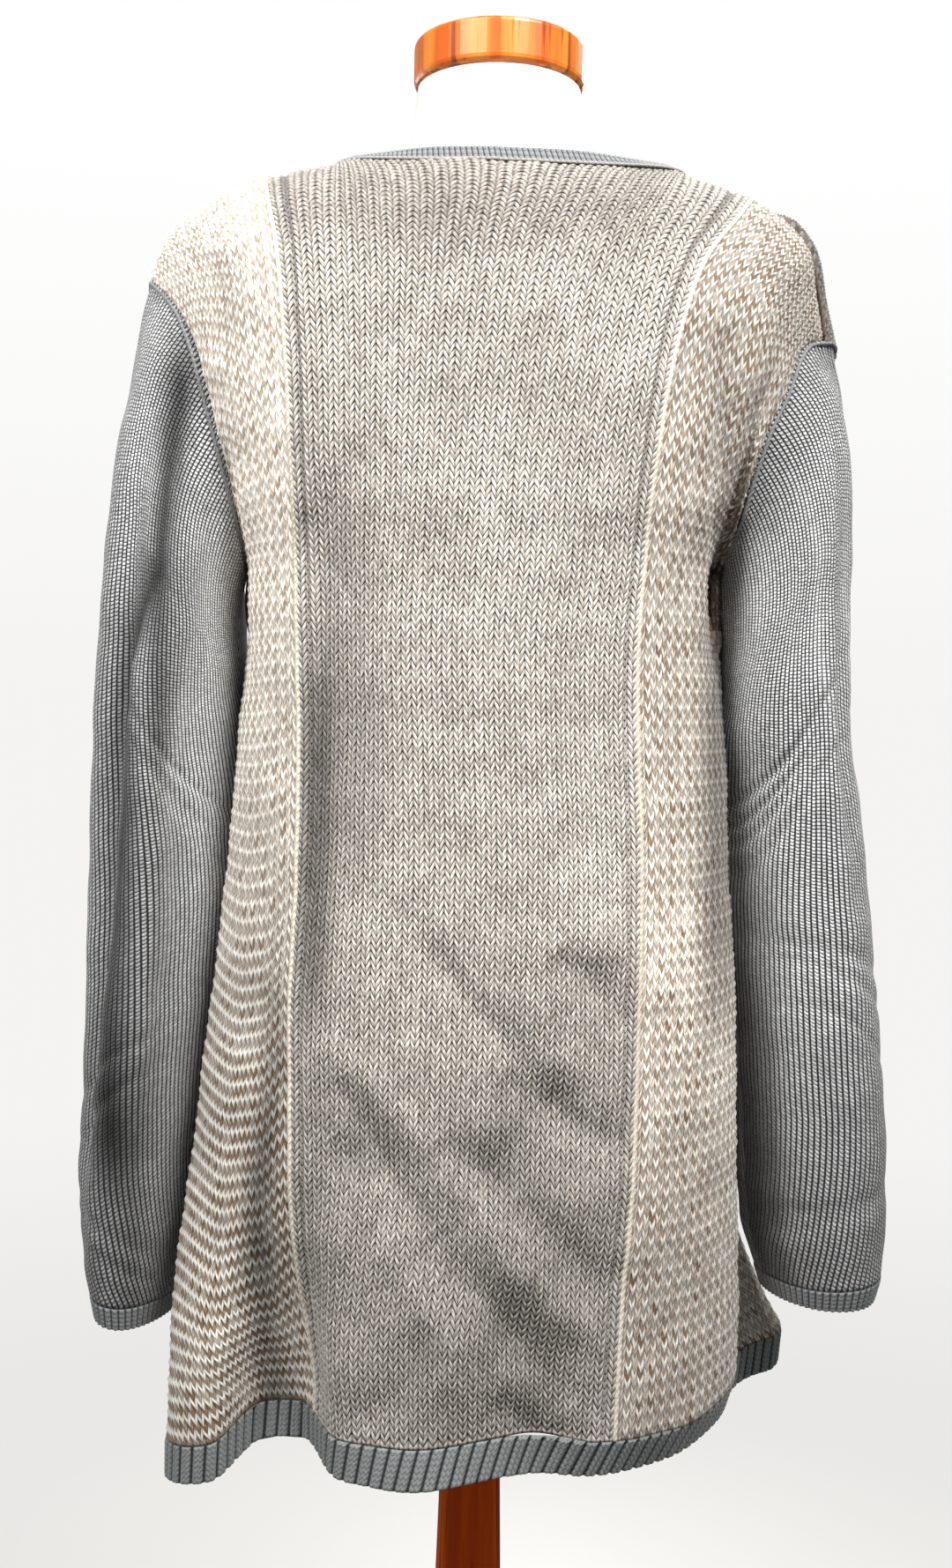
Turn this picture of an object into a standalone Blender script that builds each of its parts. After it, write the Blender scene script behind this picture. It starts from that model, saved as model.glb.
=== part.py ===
"""Long-sleeved knitted sweater, seen from behind, on a limbless dress form.

Frame: metres, +Z up, the garment's front faces -Y and the wearer's left is +X.
The origin is the centre of the base plate's underside. Every piece of cloth is
a thin wall on one garment surface: the body is a ring section at each height,
the shoulder line closes it at the top, and each sleeve is a hanging tube that
starts on the armhole. Neighbouring pieces stand 0.3 mm apart at their seams.
"""
import math

import bmesh
import bpy
import numpy as np

# ---------------------------------------------------------------- named sizes
GAP = 0.0003            # between pieces at a seam
WALL_BODY = 0.0026      # heavy knit of the body panels
WALL_SLEEVE = 0.0022    # finer knit of the sleeves
WALL_RIB = 0.0030       # ribbed bands
HEM_BAND = 0.0235       # height of the ribbed hem
NECK_BAND = 0.0095      # height of the ribbed neckband
NECK_LEAN = 0.28        # the neckband leans in towards the neck by this slope
NECK_SIDE_LEAN = 0.55   # and by this much more at the sides of the neck
NECK_BACK, NECK_FRONT = 1.3955, 1.347  # height of the panels at the middle of the neck
NECK_ARCH = 0.030       # rise of the shoulder line's arch over the neck
SLEEVE_LEAN = 0.34      # shear of each sleeve's inner side, its front towards the body
UNDERARM_Z = 1.157
SHOULDER_ROUND = 0.085  # height over which the shoulder rolls into the back
SECTION_POWER = 2.45    # fullness of the body's ring section

CENTRE_COLS = 14
SIDE_COLS = (0.0, 0.27, 0.52, 0.70, 0.85, 1.0)
LOW_ROWS, TOP_ROWS = 13, 8
SLEEVE_ROWS = 17

CAP_RADIUS, CAP_BOTTOM, CAP_TOP = 0.054, 1.4612, 1.4885
POLE_TOP_RADIUS, POLE_RADIUS = 0.0185, 0.0215
BASE_RADIUS, BASE_THICK = 0.170, 0.022
FORM_BOTTOM, FORM_NECK_RADIUS = 0.745, 0.0515


def table(text):
    """A short table. The first line names the columns, each later line is one section."""
    lines = [line.split() for line in text.strip().splitlines()]
    data = np.array([[float(v) for v in line] for line in lines[1:]])
    return {name: data[:, i] for i, name in enumerate(lines[0])}


def along(tab, name, at, key="z"):
    """A column of a table as a smooth curve of its key that never overshoots its rows."""
    x, y = tab[key], tab[name]
    h = np.diff(x)
    d = np.diff(y) / h
    m = np.zeros_like(y)
    m[0], m[-1] = d[0], d[-1]
    same = d[:-1] * d[1:] > 0
    m[1:-1][same] = 2 * (d[:-1] * d[1:])[same] / (d[:-1] + d[1:])[same]
    at = np.asarray(at, float)
    i = np.clip(np.searchsorted(x, at) - 1, 0, len(x) - 2)
    u = np.clip((at - x[i]) / h[i], 0, 1)
    return (
        y[i] * (1 + 2 * u) * (1 - u) ** 2
        + m[i] * h[i] * u * (1 - u) ** 2
        + y[i + 1] * u * u * (3 - 2 * u)
        + m[i + 1] * h[i] * u * u * (u - 1)
    )


# The body's ring at each height: its reach to the wearer's left and right, the
# depth of its back and front, and how far back each side seam lies.
BODY = table("""
z      left   right  back   front  seam_l  seam_r
0.600  0.192  0.174  0.118  -0.150   0.033  -0.015
0.660  0.191  0.173  0.118  -0.146   0.028  -0.012
0.730  0.188  0.171  0.116  -0.138   0.018  -0.008
0.800  0.181  0.168  0.113  -0.130   0.010  -0.004
0.870  0.174  0.164  0.110  -0.124   0.005   0.000
0.970  0.164  0.158  0.106  -0.117   0.000   0.000
1.070  0.157  0.151  0.103  -0.117   0.000   0.000
1.157  0.153  0.146  0.103  -0.124   0.000   0.000
1.200  0.172  0.170  0.104  -0.127   0.000   0.000
1.250  0.197  0.195  0.104  -0.123   0.000   0.000
1.300  0.218  0.216  0.101  -0.112   0.000   0.000
1.345  0.228  0.228  0.095  -0.099   0.000   0.000
1.420  0.232  0.232  0.085  -0.082   0.000   0.000
""")

# Where the two raised lines cross the back at each height, and the like lines on the front.
LINES = table("""
z      left   right  front_l front_r
0.600  0.093  0.084  0.098   0.098
0.660  0.097  0.086  0.097   0.097
0.730  0.107  0.089  0.096   0.096
0.790  0.112  0.092  0.095   0.095
0.870  0.114  0.094  0.094   0.094
0.970  0.113  0.094  0.092   0.092
1.070  0.115  0.090  0.091   0.091
1.110  0.116  0.089  0.091   0.091
1.170  0.117  0.092  0.092   0.092
1.235  0.120  0.098  0.095   0.095
1.290  0.124  0.107  0.100   0.100
1.340  0.129  0.121  0.110   0.110
1.375  0.136  0.140  0.124   0.124
1.420  0.146  0.158  0.146   0.158
""")

# The shoulder seams, from the neck point to the top of the armhole. The right one
# has slipped towards the back, so a strip of the front shows beyond it.
SHOULDER_L = table("""
u     x      y       z
0.00  0.102  -0.004  1.4110
0.25  0.135  -0.008  1.4045
0.50  0.168  -0.010  1.3960
0.75  0.194  -0.008  1.3820
0.88  0.208   0.000  1.3620
1.00  0.217   0.010  1.3380
""")
SHOULDER_R = table("""
u     x      y      z
0.00  0.118  0.000  1.4090
0.20  0.141  0.004  1.4005
0.40  0.166  0.012  1.3885
0.55  0.182  0.019  1.3755
0.70  0.194  0.022  1.3600
0.85  0.201  0.022  1.3340
1.00  0.206  0.020  1.3060
""")

# The armholes from the underarm up to the shoulder seam, on the back and the front.
ARMHOLE_L = table("""
u     back_x  back_z  front_x  front_z
0.00  0.153   1.157   0.153    1.157
0.18  0.156   1.185   0.160    1.180
0.38  0.162   1.218   0.172    1.212
0.56  0.169   1.248   0.187    1.245
0.72  0.177   1.278   0.201    1.278
0.86  0.188   1.304   0.214    1.304
0.94  0.200   1.321   0.220    1.324
1.00  0.217   1.338   0.217    1.338
""")
ARMHOLE_R = table("""
u     back_x  back_z  front_x  front_z
0.00  0.146   1.157   0.146    1.157
0.18  0.152   1.181   0.151    1.178
0.38  0.158   1.212   0.163    1.204
0.55  0.165   1.240   0.180    1.237
0.70  0.178   1.268   0.196    1.266
0.82  0.186   1.290   0.205    1.288
0.92  0.196   1.303   0.209    1.302
1.00  0.206   1.306   0.206    1.306
""")

# Each sleeve from the armhole (v 0) to the cuff (v 1): its outer and inner edge
# seen from behind, and the depth of its back and front.
SLEEVE_L = table("""
v     out_x  out_z  in_x   in_z   back   front
0.00  0.217  1.330  0.160  1.150  0.046  -0.044
0.08  0.231  1.290  0.163  1.125  0.056  -0.056
0.17  0.238  1.227  0.163  1.098  0.061  -0.062
0.28  0.245  1.160  0.162  1.066  0.062  -0.064
0.40  0.250  1.069  0.163  1.020  0.060  -0.063
0.52  0.252  0.978  0.166  0.960  0.056  -0.060
0.64  0.255  0.898  0.174  0.890  0.052  -0.057
0.77  0.259  0.810  0.183  0.815  0.049  -0.054
0.86  0.260  0.762  0.190  0.765  0.045  -0.050
0.95  0.255  0.706  0.197  0.702  0.039  -0.043
1.00  0.250  0.690  0.200  0.684  0.037  -0.040
""")
SLEEVE_R = table("""
v     out_x  out_z  in_x   in_z   back   front
0.00  0.213  1.303  0.153  1.150  0.045  -0.045
0.08  0.227  1.259  0.155  1.125  0.055  -0.058
0.17  0.230  1.205  0.154  1.096  0.060  -0.064
0.28  0.230  1.136  0.152  1.060  0.060  -0.066
0.38  0.232  1.079  0.156  1.025  0.058  -0.066
0.49  0.241  1.011  0.159  0.975  0.055  -0.064
0.60  0.250  0.945  0.164  0.930  0.052  -0.062
0.72  0.259  0.870  0.169  0.868  0.050  -0.058
0.85  0.266  0.790  0.175  0.790  0.048  -0.054
0.94  0.267  0.742  0.180  0.740  0.044  -0.049
1.00  0.265  0.711  0.190  0.706  0.040  -0.044
""")
CUFFS = {  # how far each cuff drops at its outer and inner edge, and how much it draws in
    +1: {"drop_out": 0.0150, "drop_in": 0.0150, "draw": 0.003},
    -1: {"drop_out": 0.0160, "drop_in": 0.0130, "draw": 0.004},
}

# The seam on top of the hem band, by angle round the ring from the back's or front's centre,
# and how far the band below it tucks under, in degrees.
HEM_BACK = table("""
angle  z       tuck
-90    0.6380  15
-75    0.6430  18
-60    0.6410  22
-45    0.6380  22
-25    0.6390  14
-7     0.6440   0
 10    0.6385 -12
 22    0.6380   0
 32    0.6430   6
 42    0.6390   6
 48    0.6330   2
 54    0.6250   0
 64    0.6210   0
 76    0.6150   0
 90    0.6060   0
""")
HEM_FRONT = table("""
angle  z       tuck
-90    0.6380  15
-75    0.6420   8
-55    0.6420   8
-20    0.6400   0
 20    0.6380   0
 60    0.6250   0
 90    0.6060   0
""")

# Main folds: a soft trough (depth below 0) or ridge along a line from one point to another
# across the panel, in the plane seen from behind (face 1) or from the front (face -1). One with
# an edge above 3 is a recess with a flat bed and steep sides, set straight back.
FOLDS = table("""
face  x0      z0     x1      z1     width  depth   edge
 1     0.118  0.590   0.117  0.810  0.027  -0.046   4
 1     0.172  0.590   0.166  0.760  0.018   0.014   2
 1     0.030  0.590   0.045  0.720  0.026   0.007   2
 1    -0.030  0.600  -0.085  0.760  0.022  -0.008   2
 1    -0.040  0.800   0.030  0.640  0.024   0.007   2
 1    -0.062  0.860   0.000  0.780  0.024  -0.006   2
 1     0.085  1.230   0.094  0.950  0.022  -0.007   2
 1    -0.062  1.150  -0.070  0.930  0.024  -0.005   2
 1     0.000  1.230   0.010  0.980  0.050   0.004   2
-1     0.060  0.590   0.050  0.790  0.024  -0.016   2
-1    -0.020  0.590  -0.028  0.760  0.026   0.010   2
-1    -0.085  0.600  -0.070  0.800  0.022  -0.014   2
-1     0.120  0.600   0.112  0.760  0.024   0.010   2
-1    -0.045  1.230  -0.060  1.020  0.030  -0.006   2
-1     0.045  1.230   0.062  1.000  0.032  -0.006   2
""")

# The front's two corners swing out at the hem, by angle round the ring.
FLARES = table("""
side  top    out    angle  spread
-1    0.815  0.087   57    24
 1    0.760  0.012   60    24
""")

# Between the body and each sleeve the side panel folds in: a valley at a share of the panel's
# width, deepest at the underarm and gone by the share of the armhole's height in v_top.
VALLEYS = table("""
side  share  width  v_top  depth
-1    0.77   0.09   0.82   0.024
 1    0.86   0.08   0.60   0.008
""")

# Beyond the right shoulder seam the front rises over the shoulder's tip by this much.
CROWN = {+1: 0.004, -1: 0.018}

# Long soft folds down each sleeve: side, angle round the tube from its outer edge towards the
# back, the stretch it covers, width in degrees, and depth.
SLEEVE_FOLDS = table("""
side  angle0  angle1  v0    v1    width  depth
 1     66      36     0.04  0.94  19    -0.0150
 1    100     112     0.10  0.80  16     0.0040
 1    -80     -60     0.10  0.85  24    -0.0080
-1     38      52     0.08  0.60  15    -0.0060
-1     95     105     0.12  0.92  22    -0.0050
-1    -70     -95     0.10  0.80  24    -0.0080
""")


# ------------------------------------------------------------ the body surface
def reach(z, x):
    """Half-width of the ring on the side that x is on."""
    return np.where(np.asarray(x) >= 0, along(BODY, "left", z), along(BODY, "right", z))


def ring_y(x, z, face):
    """Depth of the body's surface at x and z, on the back (face 1) or the front (face -1)."""
    u = np.clip(np.abs(x) / reach(z, x), 0, 1)
    seam = np.where(np.asarray(x) >= 0, along(BODY, "seam_l", z), along(BODY, "seam_r", z))
    deep = along(BODY, "back" if face > 0 else "front", z)
    return seam + (deep - seam) * np.sqrt(np.clip(1 - u**SECTION_POWER, 0, 1))


def roll(below):
    """0 on the shoulder line, 1 once the cloth hangs free of it."""
    u = np.clip(below / SHOULDER_ROUND, 0, 1)
    return np.sqrt(np.clip(1 - (1 - u) ** 2, 0, 1))


def seg(a, b, n):
    return np.linspace(a, b, n + 1)


def hem_z(angle, face):
    return along(HEM_BACK if face > 0 else HEM_FRONT, "z", np.degrees(angle), "angle")


def crease(x, z, face, straight):
    """Shift of the body's surface from its folds: outward, or straight back for a recess."""
    total = np.zeros(np.broadcast(x, z).shape)
    for i in range(len(FOLDS["face"])):
        if FOLDS["face"][i] != face or (FOLDS["edge"][i] > 3) != straight:
            continue
        a = np.array([FOLDS["x0"][i], FOLDS["z0"][i]])
        b = np.array([FOLDS["x1"][i], FOLDS["z1"][i]])
        d = b - a
        size = math.hypot(*d)
        t = ((x - a[0]) * d[0] + (z - a[1]) * d[1]) / size**2
        off = ((x - a[0]) * d[1] - (z - a[1]) * d[0]) / size
        low_end = 1.0 if a[1] < 0.62 else None  # a fold that runs off the hem keeps its depth there
        tc = np.clip(t, 0, 1)
        if low_end:
            taper = np.cos(tc * math.pi / 2) ** 1.5
        else:
            taper = np.sin(tc * math.pi)
        across = np.exp(-(np.abs(off / FOLDS["width"][i]) ** FOLDS["edge"][i]))
        total += FOLDS["depth"][i] * taper * across
    return total


def flare(angle, z, face):
    """Sideways swing of the front's corners."""
    total = np.zeros(np.broadcast(angle, z).shape)
    if face > 0:
        return total
    for i in range(len(FLARES["side"])):
        side = FLARES["side"][i]
        up = np.clip((FLARES["top"][i] - z) / (FLARES["top"][i] - 0.61), 0, 1)
        off = (side * np.degrees(angle) - FLARES["angle"][i]) / FLARES["spread"][i]
        total += side * FLARES["out"][i] * up**1.6 * np.exp(-(off**2))
    return total


def valley(s, t, side):
    """How far a back side panel folds in beside the sleeve."""
    i = 0 if side < 0 else 1
    across = np.exp(-(((s - VALLEYS["share"][i]) / VALLEYS["width"][i]) ** 2))
    across = across * np.clip((1 - s) / 0.10, 0, 1)
    rise = np.clip(t / VALLEYS["v_top"][i], 0, 1)
    fall = np.clip(1 + t / 0.22, 0, 1)
    along_it = np.where(t >= 0, (1 - rise) ** 1.2, fall * fall * (3 - 2 * fall))
    return VALLEYS["depth"][i] * across * along_it


def outward(x, y, z):
    """Horizontal direction out of the body's ring."""
    a = reach(z, x)
    n = np.stack([x / a**2, y / 0.105**2, np.zeros_like(x)], -1)
    return n / np.maximum(np.linalg.norm(n, axis=-1, keepdims=True), 1e-9)


def settle(x, y, z, angle, face):
    """A point of the surface with its folds."""
    p = np.stack([x, y, z], -1)
    # a fold must not cross the side seam, where both panels share the edge
    edge = np.clip((math.pi / 2 - np.abs(angle)) / 0.30, 0, 1)
    p = p + outward(x, y, z) * (crease(x, z, face, False) * edge)[..., None]
    p[..., 1] += face * crease(x, z, face, True) * edge
    p[..., 0] += flare(angle, z, face) * edge
    return p


# ---- edges of the body panels
def shoulder(side, u):
    tab = SHOULDER_L if side > 0 else SHOULDER_R
    return np.stack(
        [side * along(tab, "x", u, "u"), along(tab, "y", u, "u"), along(tab, "z", u, "u")], -1
    )


def line_x(side, z, face):
    if face > 0:
        return side * along(LINES, "left" if side > 0 else "right", z)
    return side * along(LINES, "front_l" if side > 0 else "front_r", z)


LINE_TOP_U = {+1: 0.33, -1: 0.345}  # where the raised lines meet the shoulder seam


def line_top(side):
    return shoulder(side, np.array(LINE_TOP_U[side]))


def armhole(side, u, face):
    tab = ARMHOLE_L if side > 0 else ARMHOLE_R
    name = "back" if face > 0 else "front"
    return side * along(tab, name + "_x", u, "u"), along(tab, name + "_z", u, "u")


def neck_side(x, name):
    return np.where(np.asarray(x) >= 0, SHOULDER_L[name][0], SHOULDER_R[name][0])


def neck_edge(x, face):
    """Height of the panels' upper edge between the neck points."""
    u = np.clip(np.abs(x) / neck_side(x, "x"), 0, 1)
    low, power = (NECK_BACK, 3.0) if face > 0 else (NECK_FRONT, 2.2)
    return low + (neck_side(x, "z") - low) * u**power


def ridge(x):
    """Height and depth of the shoulder line, carried on over the neck as a low arch. The cloth
    rolls off this line to both sides, and the neck is cut out of that surface."""
    x = np.asarray(x, float)
    u = np.clip(np.abs(x) / neck_side(x, "x"), 0, 1)
    z = neck_side(x, "z") + NECK_ARCH * (1 - u**1.6)
    share = np.clip(x / 0.2 + 0.5, 0, 1)
    y = SHOULDER_R["y"][0] + (SHOULDER_L["y"][0] - SHOULDER_R["y"][0]) * share
    y = np.where(u < 1, y + (neck_side(x, "y") - y) * u**2, y)
    for side, tab in ((1, SHOULDER_L), (-1, SHOULDER_R)):
        here = (x * side >= 0) & (u >= 1)
        fine = seg(0, 1, 400)
        k = np.interp(np.abs(x), along(tab, "x", fine, "u"), fine)
        z = np.where(here, along(tab, "z", k, "u"), z)
        y = np.where(here, along(tab, "y", k, "u"), y)
    return z, y


def skin_y(x, z, face):
    """Depth of the body's surface with its roll over the shoulder line."""
    rz, ry = ridge(x)
    f = roll(rz - z)
    return (1 - f) * ry + f * ring_y(x, z, face)


def centre_panel(s, t, face):
    """s runs 0 to 1 from the right raised line to the left one, t -1 to 0 from the hem band to
    the underarm's height and 0 to 1 from there to the neck and shoulders."""
    s, t = np.broadcast_arrays(np.asarray(s, float), np.asarray(t, float))
    low = t < 0

    def between(r, l):
        """Angles round the ring, shared evenly between the two lines' angles."""
        return r + (l - r) * s

    def line_angle(side, x, z):
        return np.arcsin(np.clip(x / along(BODY, "left" if side > 0 else "right", z), -1, 1))

    # lower part: straight up from the hem
    z0 = np.full(s.shape, 0.64)
    ang = between(line_angle(-1, line_x(-1, z0, face), z0), line_angle(1, line_x(1, z0, face), z0))
    zb = hem_z(ang, face)
    z_low = zb + (t + 1) * (UNDERARM_Z - zb)
    ang_low = between(
        line_angle(-1, line_x(-1, z_low, face), z_low), line_angle(1, line_x(1, z_low, face), z_low)
    )
    # upper part: towards the edge of the neck and shoulders
    v = np.clip(t, 0, 1)
    one = np.ones(s.shape)
    (rx1, rz1), (lx1, lz1) = line_point(-1, one, face), line_point(1, one, face)
    ang1 = between(line_angle(-1, rx1, rz1), line_angle(1, lx1, lz1))
    z_top = rz1 + (lz1 - rz1) * s
    for _ in range(12):
        x_top = reach(z_top, np.sin(ang1)) * np.sin(ang1)
        z_top = top_edge(x_top, face)
    z_up = UNDERARM_Z + v * (z_top - UNDERARM_Z)
    (rx, rz), (lx, lz) = line_point(-1, v, face), line_point(1, v, face)
    ang_up = between(line_angle(-1, rx, rz), line_angle(1, lx, lz))
    z = np.where(low, z_low, z_up)
    ang = np.where(low, ang_low, ang_up)
    x = reach(z, np.sin(ang)) * np.sin(ang)
    rz, ry = ridge(x_top)
    f = np.where(low, 1.0, roll(rz - z))
    y = (1 - f) * ry + f * ring_y(x, z, face)
    return settle(x, y, z, ang, face)


def line_point(side, v, face):
    """A raised line above the underarm's height, v 0 to 1 up to the shoulder seam: x and z."""
    end = line_top(side)
    z = UNDERARM_Z + v * (end[2] - UNDERARM_Z)
    return line_x(side, z, face) + (end[0] - line_x(side, end[2], face)) * v**6, z


def top_edge(x, face):
    """Height of the upper edge of a centre panel: the neck, then the shoulder seams."""
    x = np.asarray(x, float)
    return np.where(np.abs(x) < neck_side(x, "x"), neck_edge(x, face), ridge(x)[0])


def side_panel(s, t, side, face):
    """s runs 0 to 1 from the raised line to the side seam and armhole, t as in centre_panel."""
    s, t = np.broadcast_arrays(np.asarray(s, float), np.asarray(t, float))
    low = t < 0
    # lower part: part of the ring
    edge_s = 1.0 if side < 0 else 0.0

    def line_angle(z):
        return np.arcsin(np.clip(line_x(side, z, face) / (side * reach(z, side)), -1, 1) * side)

    z0 = np.full(s.shape, 0.64)
    a0 = line_angle(z0)
    ang = a0 + (side * math.pi / 2 - a0) * s
    zb = hem_z(ang, face)
    z_low = zb + (t + 1) * (UNDERARM_Z - zb)
    a0 = line_angle(z_low)
    ang_low = a0 + (side * math.pi / 2 - a0) * s
    x_low = reach(z_low, side) * np.sin(ang_low)
    y_low = ring_y(x_low, z_low, face)
    # upper part: a patch between the raised line, the armhole, the underarm's row and the seam
    v = np.clip(t, 0, 1)
    a0 = line_angle(np.full(s.shape, UNDERARM_Z))
    base_ang = a0 + (side * math.pi / 2 - a0) * s
    bx, bz = reach(UNDERARM_Z, side) * np.sin(base_ang), np.full(s.shape, UNDERARM_Z)
    u0 = LINE_TOP_U[side]
    top = shoulder(side, u0 + (1 - u0) * s)
    tip = shoulder(side, np.array(1.0))
    start = shoulder(side, np.array(u0))
    lx, lz = line_point(side, v, face)
    ex, ez = armhole(side, v, face)
    cx = (
        (1 - s) * lx + s * ex + (1 - v) * bx + v * top[..., 0]
        - ((1 - s) * (1 - v) * line_x(side, np.array(UNDERARM_Z), face)
           + s * (1 - v) * side * reach(UNDERARM_Z, side)
           + (1 - s) * v * start[0] + s * v * tip[0])
    )
    cz = (
        (1 - s) * lz + s * ez + (1 - v) * bz + v * top[..., 2]
        - ((1 - v) * UNDERARM_Z + (1 - s) * v * start[2] + s * v * tip[2])
    )
    f = roll(np.maximum(top[..., 2] - cz, 0))
    ux = np.clip(np.abs(cx) / reach(cz, side), 0, 1)
    cy = (1 - f) * top[..., 1] + f * ring_y(cx, cz, face)
    ang_up = side * np.arcsin(ux)
    x = np.where(low, x_low, cx)
    y = np.where(low, y_low, cy)
    z = np.where(low, z_low, cz)
    # folds may cross the seam of the armhole, but not the underarm
    ang = np.where(low, ang_low, ang_up * (1 - 0.12 * np.clip(v / 0.25, 0, 1)))
    p = settle(x, y, z, ang, face)
    if face > 0:
        p[..., 1] -= valley(s, t, side)
    else:
        w = np.clip(1 - v, 0, 1) ** 0.3
        hold = np.clip(s / 0.35, 0, 1)
        lift = CROWN[side] * np.sin(math.pi * w) * hold * hold * (3 - 2 * hold) * (v > 0)
        lift = lift * (1 - 0.5 * s * s)
        lean = np.sqrt(s) * math.radians(72)
        p[..., 0] += side * lift * np.sin(lean)
        p[..., 2] += lift * np.cos(lean)
    return p


# ------------------------------------------------------------------ the sleeves
def sleeve_loop(side, a):
    """The armhole as a closed loop: a runs 0 to 1 from the underarm up the back, over the top
    and down the front."""
    a = np.asarray(a, float)
    back = side_panel(1.0, np.clip(2 * a, 0, 1), side, 1)
    front = side_panel(1.0, np.clip(2 - 2 * a, 0, 1), side, -1)
    return np.where((a <= 0.5)[..., None], back, front)


def sleeve(side, a, v, drop=0.0):
    """A point of a sleeve's outer surface. drop runs 0 to 1 down the cuff, past v = 1."""
    a, v, drop = np.broadcast_arrays(
        np.asarray(a, float), np.asarray(v, float), np.asarray(drop, float)
    )
    tab = SLEEVE_L if side > 0 else SLEEVE_R
    col = lambda name: along(tab, name, v, "v")
    cuff = CUFFS[side]
    ang = math.pi * (1 - 2 * a)  # pi at the inner edge, pi/2 at the back, 0 at the outer edge
    c, s = np.cos(ang), np.sin(ang)
    p = 2 / 2.25
    c, s = np.sign(c) * np.abs(c) ** p, np.sign(s) * np.abs(s) ** p
    pull = cuff["draw"] * drop
    out_x, in_x = col("out_x") - pull, col("in_x") + pull
    out_z, in_z = col("out_z") - cuff["drop_out"] * drop, col("in_z") - cuff["drop_in"] * drop
    back, front = col("back") - pull, col("front") + pull
    x = (out_x + in_x) / 2 + c * (out_x - in_x) / 2
    z = (out_z + in_z) / 2 + c * (out_z - in_z) / 2
    y = (back + front) / 2 + s * (back - front) / 2
    # the inner side leans in behind the body's edge
    low = np.clip((v - 0.17) / 0.24, 0, 1)
    x = x + SLEEVE_LEAN * low * low * (3 - 2 * low) * (1 - c) / 2 * s * (back - front) / 2
    # long folds
    shift = np.zeros_like(x)
    deg = np.degrees(ang)
    for i in range(len(SLEEVE_FOLDS["side"])):
        if SLEEVE_FOLDS["side"][i] != side:
            continue
        lo, hi = SLEEVE_FOLDS["v0"][i], SLEEVE_FOLDS["v1"][i]
        k = np.clip((v - lo) / (hi - lo), 0, 1)
        mid = SLEEVE_FOLDS["angle0"][i] * (1 - k) + SLEEVE_FOLDS["angle1"][i] * k
        away = (deg - mid + 180) % 360 - 180
        shift += (
            SLEEVE_FOLDS["depth"][i]
            * np.sin(k * math.pi) ** 0.7
            * np.exp(-((away / SLEEVE_FOLDS["width"][i]) ** 2))
        )
    nx, ny = c / (out_x - in_x), s / (back - front)
    n = np.sqrt(nx**2 + ny**2)
    x = x + shift * nx / n
    y = y + shift * ny / n
    free = np.stack([side * x, y, z], -1)
    hold = (np.clip(1 - v / 0.18, 0, 1) ** 2)[..., None]
    return sleeve_loop(side, a) * hold + free * (1 - hold)


# ---------------------------------------------------------------- band surfaces
def centre_columns():
    """Columns of a centre panel's wall, with one on each neck point."""
    one = np.array(1.0)
    (rx, rz), (lx, lz) = line_point(-1, one, 1), line_point(1, one, 1)
    r = math.asin(rx / float(along(BODY, "right", rz)))
    l = math.asin(lx / float(along(BODY, "left", lz)))
    ends = []
    for tab, side, name in ((SHOULDER_R, -1, "right"), (SHOULDER_L, 1, "left")):
        a = math.asin(side * tab["x"][0] / float(along(BODY, name, tab["z"][0])))
        ends.append((a - r) / (l - r))
    a, b = ends
    mid = a + (b - a) * (1 - np.cos(seg(0, math.pi, CENTRE_COLS - 4))) / 2
    mid[0], mid[-1] = a, b
    return np.concatenate([[0, a / 2], mid, [(1 + b) / 2, 1]])


def hem_point(part, s, t, face):
    """Three stretches of band: part -1 and 1 under the side panels, 0 under the centre panel,
    s as in those panels and t 0 to 1 up the band."""
    s, t = np.broadcast_arrays(np.asarray(s, float), np.asarray(t, float))
    top = centre_panel(s, -1.0, face) if part == 0 else side_panel(s, -1.0, part, face)
    x, y = top[..., 0], top[..., 1]
    ang = np.arctan2(x / reach(0.64, x), face * y / 0.12)
    tab = HEM_BACK if face > 0 else HEM_FRONT
    tuck = np.radians(along(tab, "tuck", np.clip(np.degrees(ang), -90, 90), "angle"))
    drop = (1 - t) * HEM_BAND
    up = top - outward(x, y, top[..., 2]) * (drop * np.sin(tuck))[..., None]
    up[..., 2] -= drop * np.cos(tuck)
    return up


def neck_loop(over):
    """The neck edge's points from the right neck point over the back to the left one and back
    along the front, and the points a little below them."""
    return [
        np.concatenate([centre_panel(over, t, 1), centre_panel(over[::-1], t, -1)[1:-1]])
        for t in (1.0, 0.97)
    ]


def neck_point(base, below, t):
    """The neckband over a closed loop of the neck edge's points, t 0 to 1 up the band. It stands
    square to the edge, leaning in towards the neck, most of all at the sides, and carries on the
    slope of the cloth below it in front."""
    x, y, z = base[..., 0], base[..., 1], base[..., 2]
    r = np.maximum(np.hypot(x, y), 1e-6)
    q = np.where(x >= 0, x / SHOULDER_L["x"][0], -x / SHOULDER_R["x"][0])
    side_on = np.clip((q - 0.3) / 0.7, 0, 1)
    side_on = side_on * side_on * (3 - 2 * side_on)
    lean = NECK_LEAN + NECK_SIDE_LEAN * side_on
    way = np.stack([-x / r * lean, -y / r * lean, 1 - 0.5 * side_on], -1)
    edge = np.roll(base, -1, 0) - np.roll(base, 1, 0)
    edge /= np.linalg.norm(edge, axis=-1, keepdims=True)
    way = way - edge * (way * edge).sum(-1, keepdims=True)
    on = base - below
    on = on - edge * (on * edge).sum(-1, keepdims=True)
    on /= np.linalg.norm(on, axis=-1, keepdims=True)
    way /= np.linalg.norm(way, axis=-1, keepdims=True)
    front = np.clip(-y / 0.02, 0, 1)[..., None]
    way = way * (1 - 0.6 * front) + on * 0.6 * front
    size = 1 - 0.35 * side_on
    return base + way / np.linalg.norm(way, axis=-1, keepdims=True) * (
        NECK_BAND * size * t
    )[..., None]


# -------------------------------------------------------------- solids of cloth
def key(p):
    return tuple(int(round(c * 2e4)) for c in p)


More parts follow.
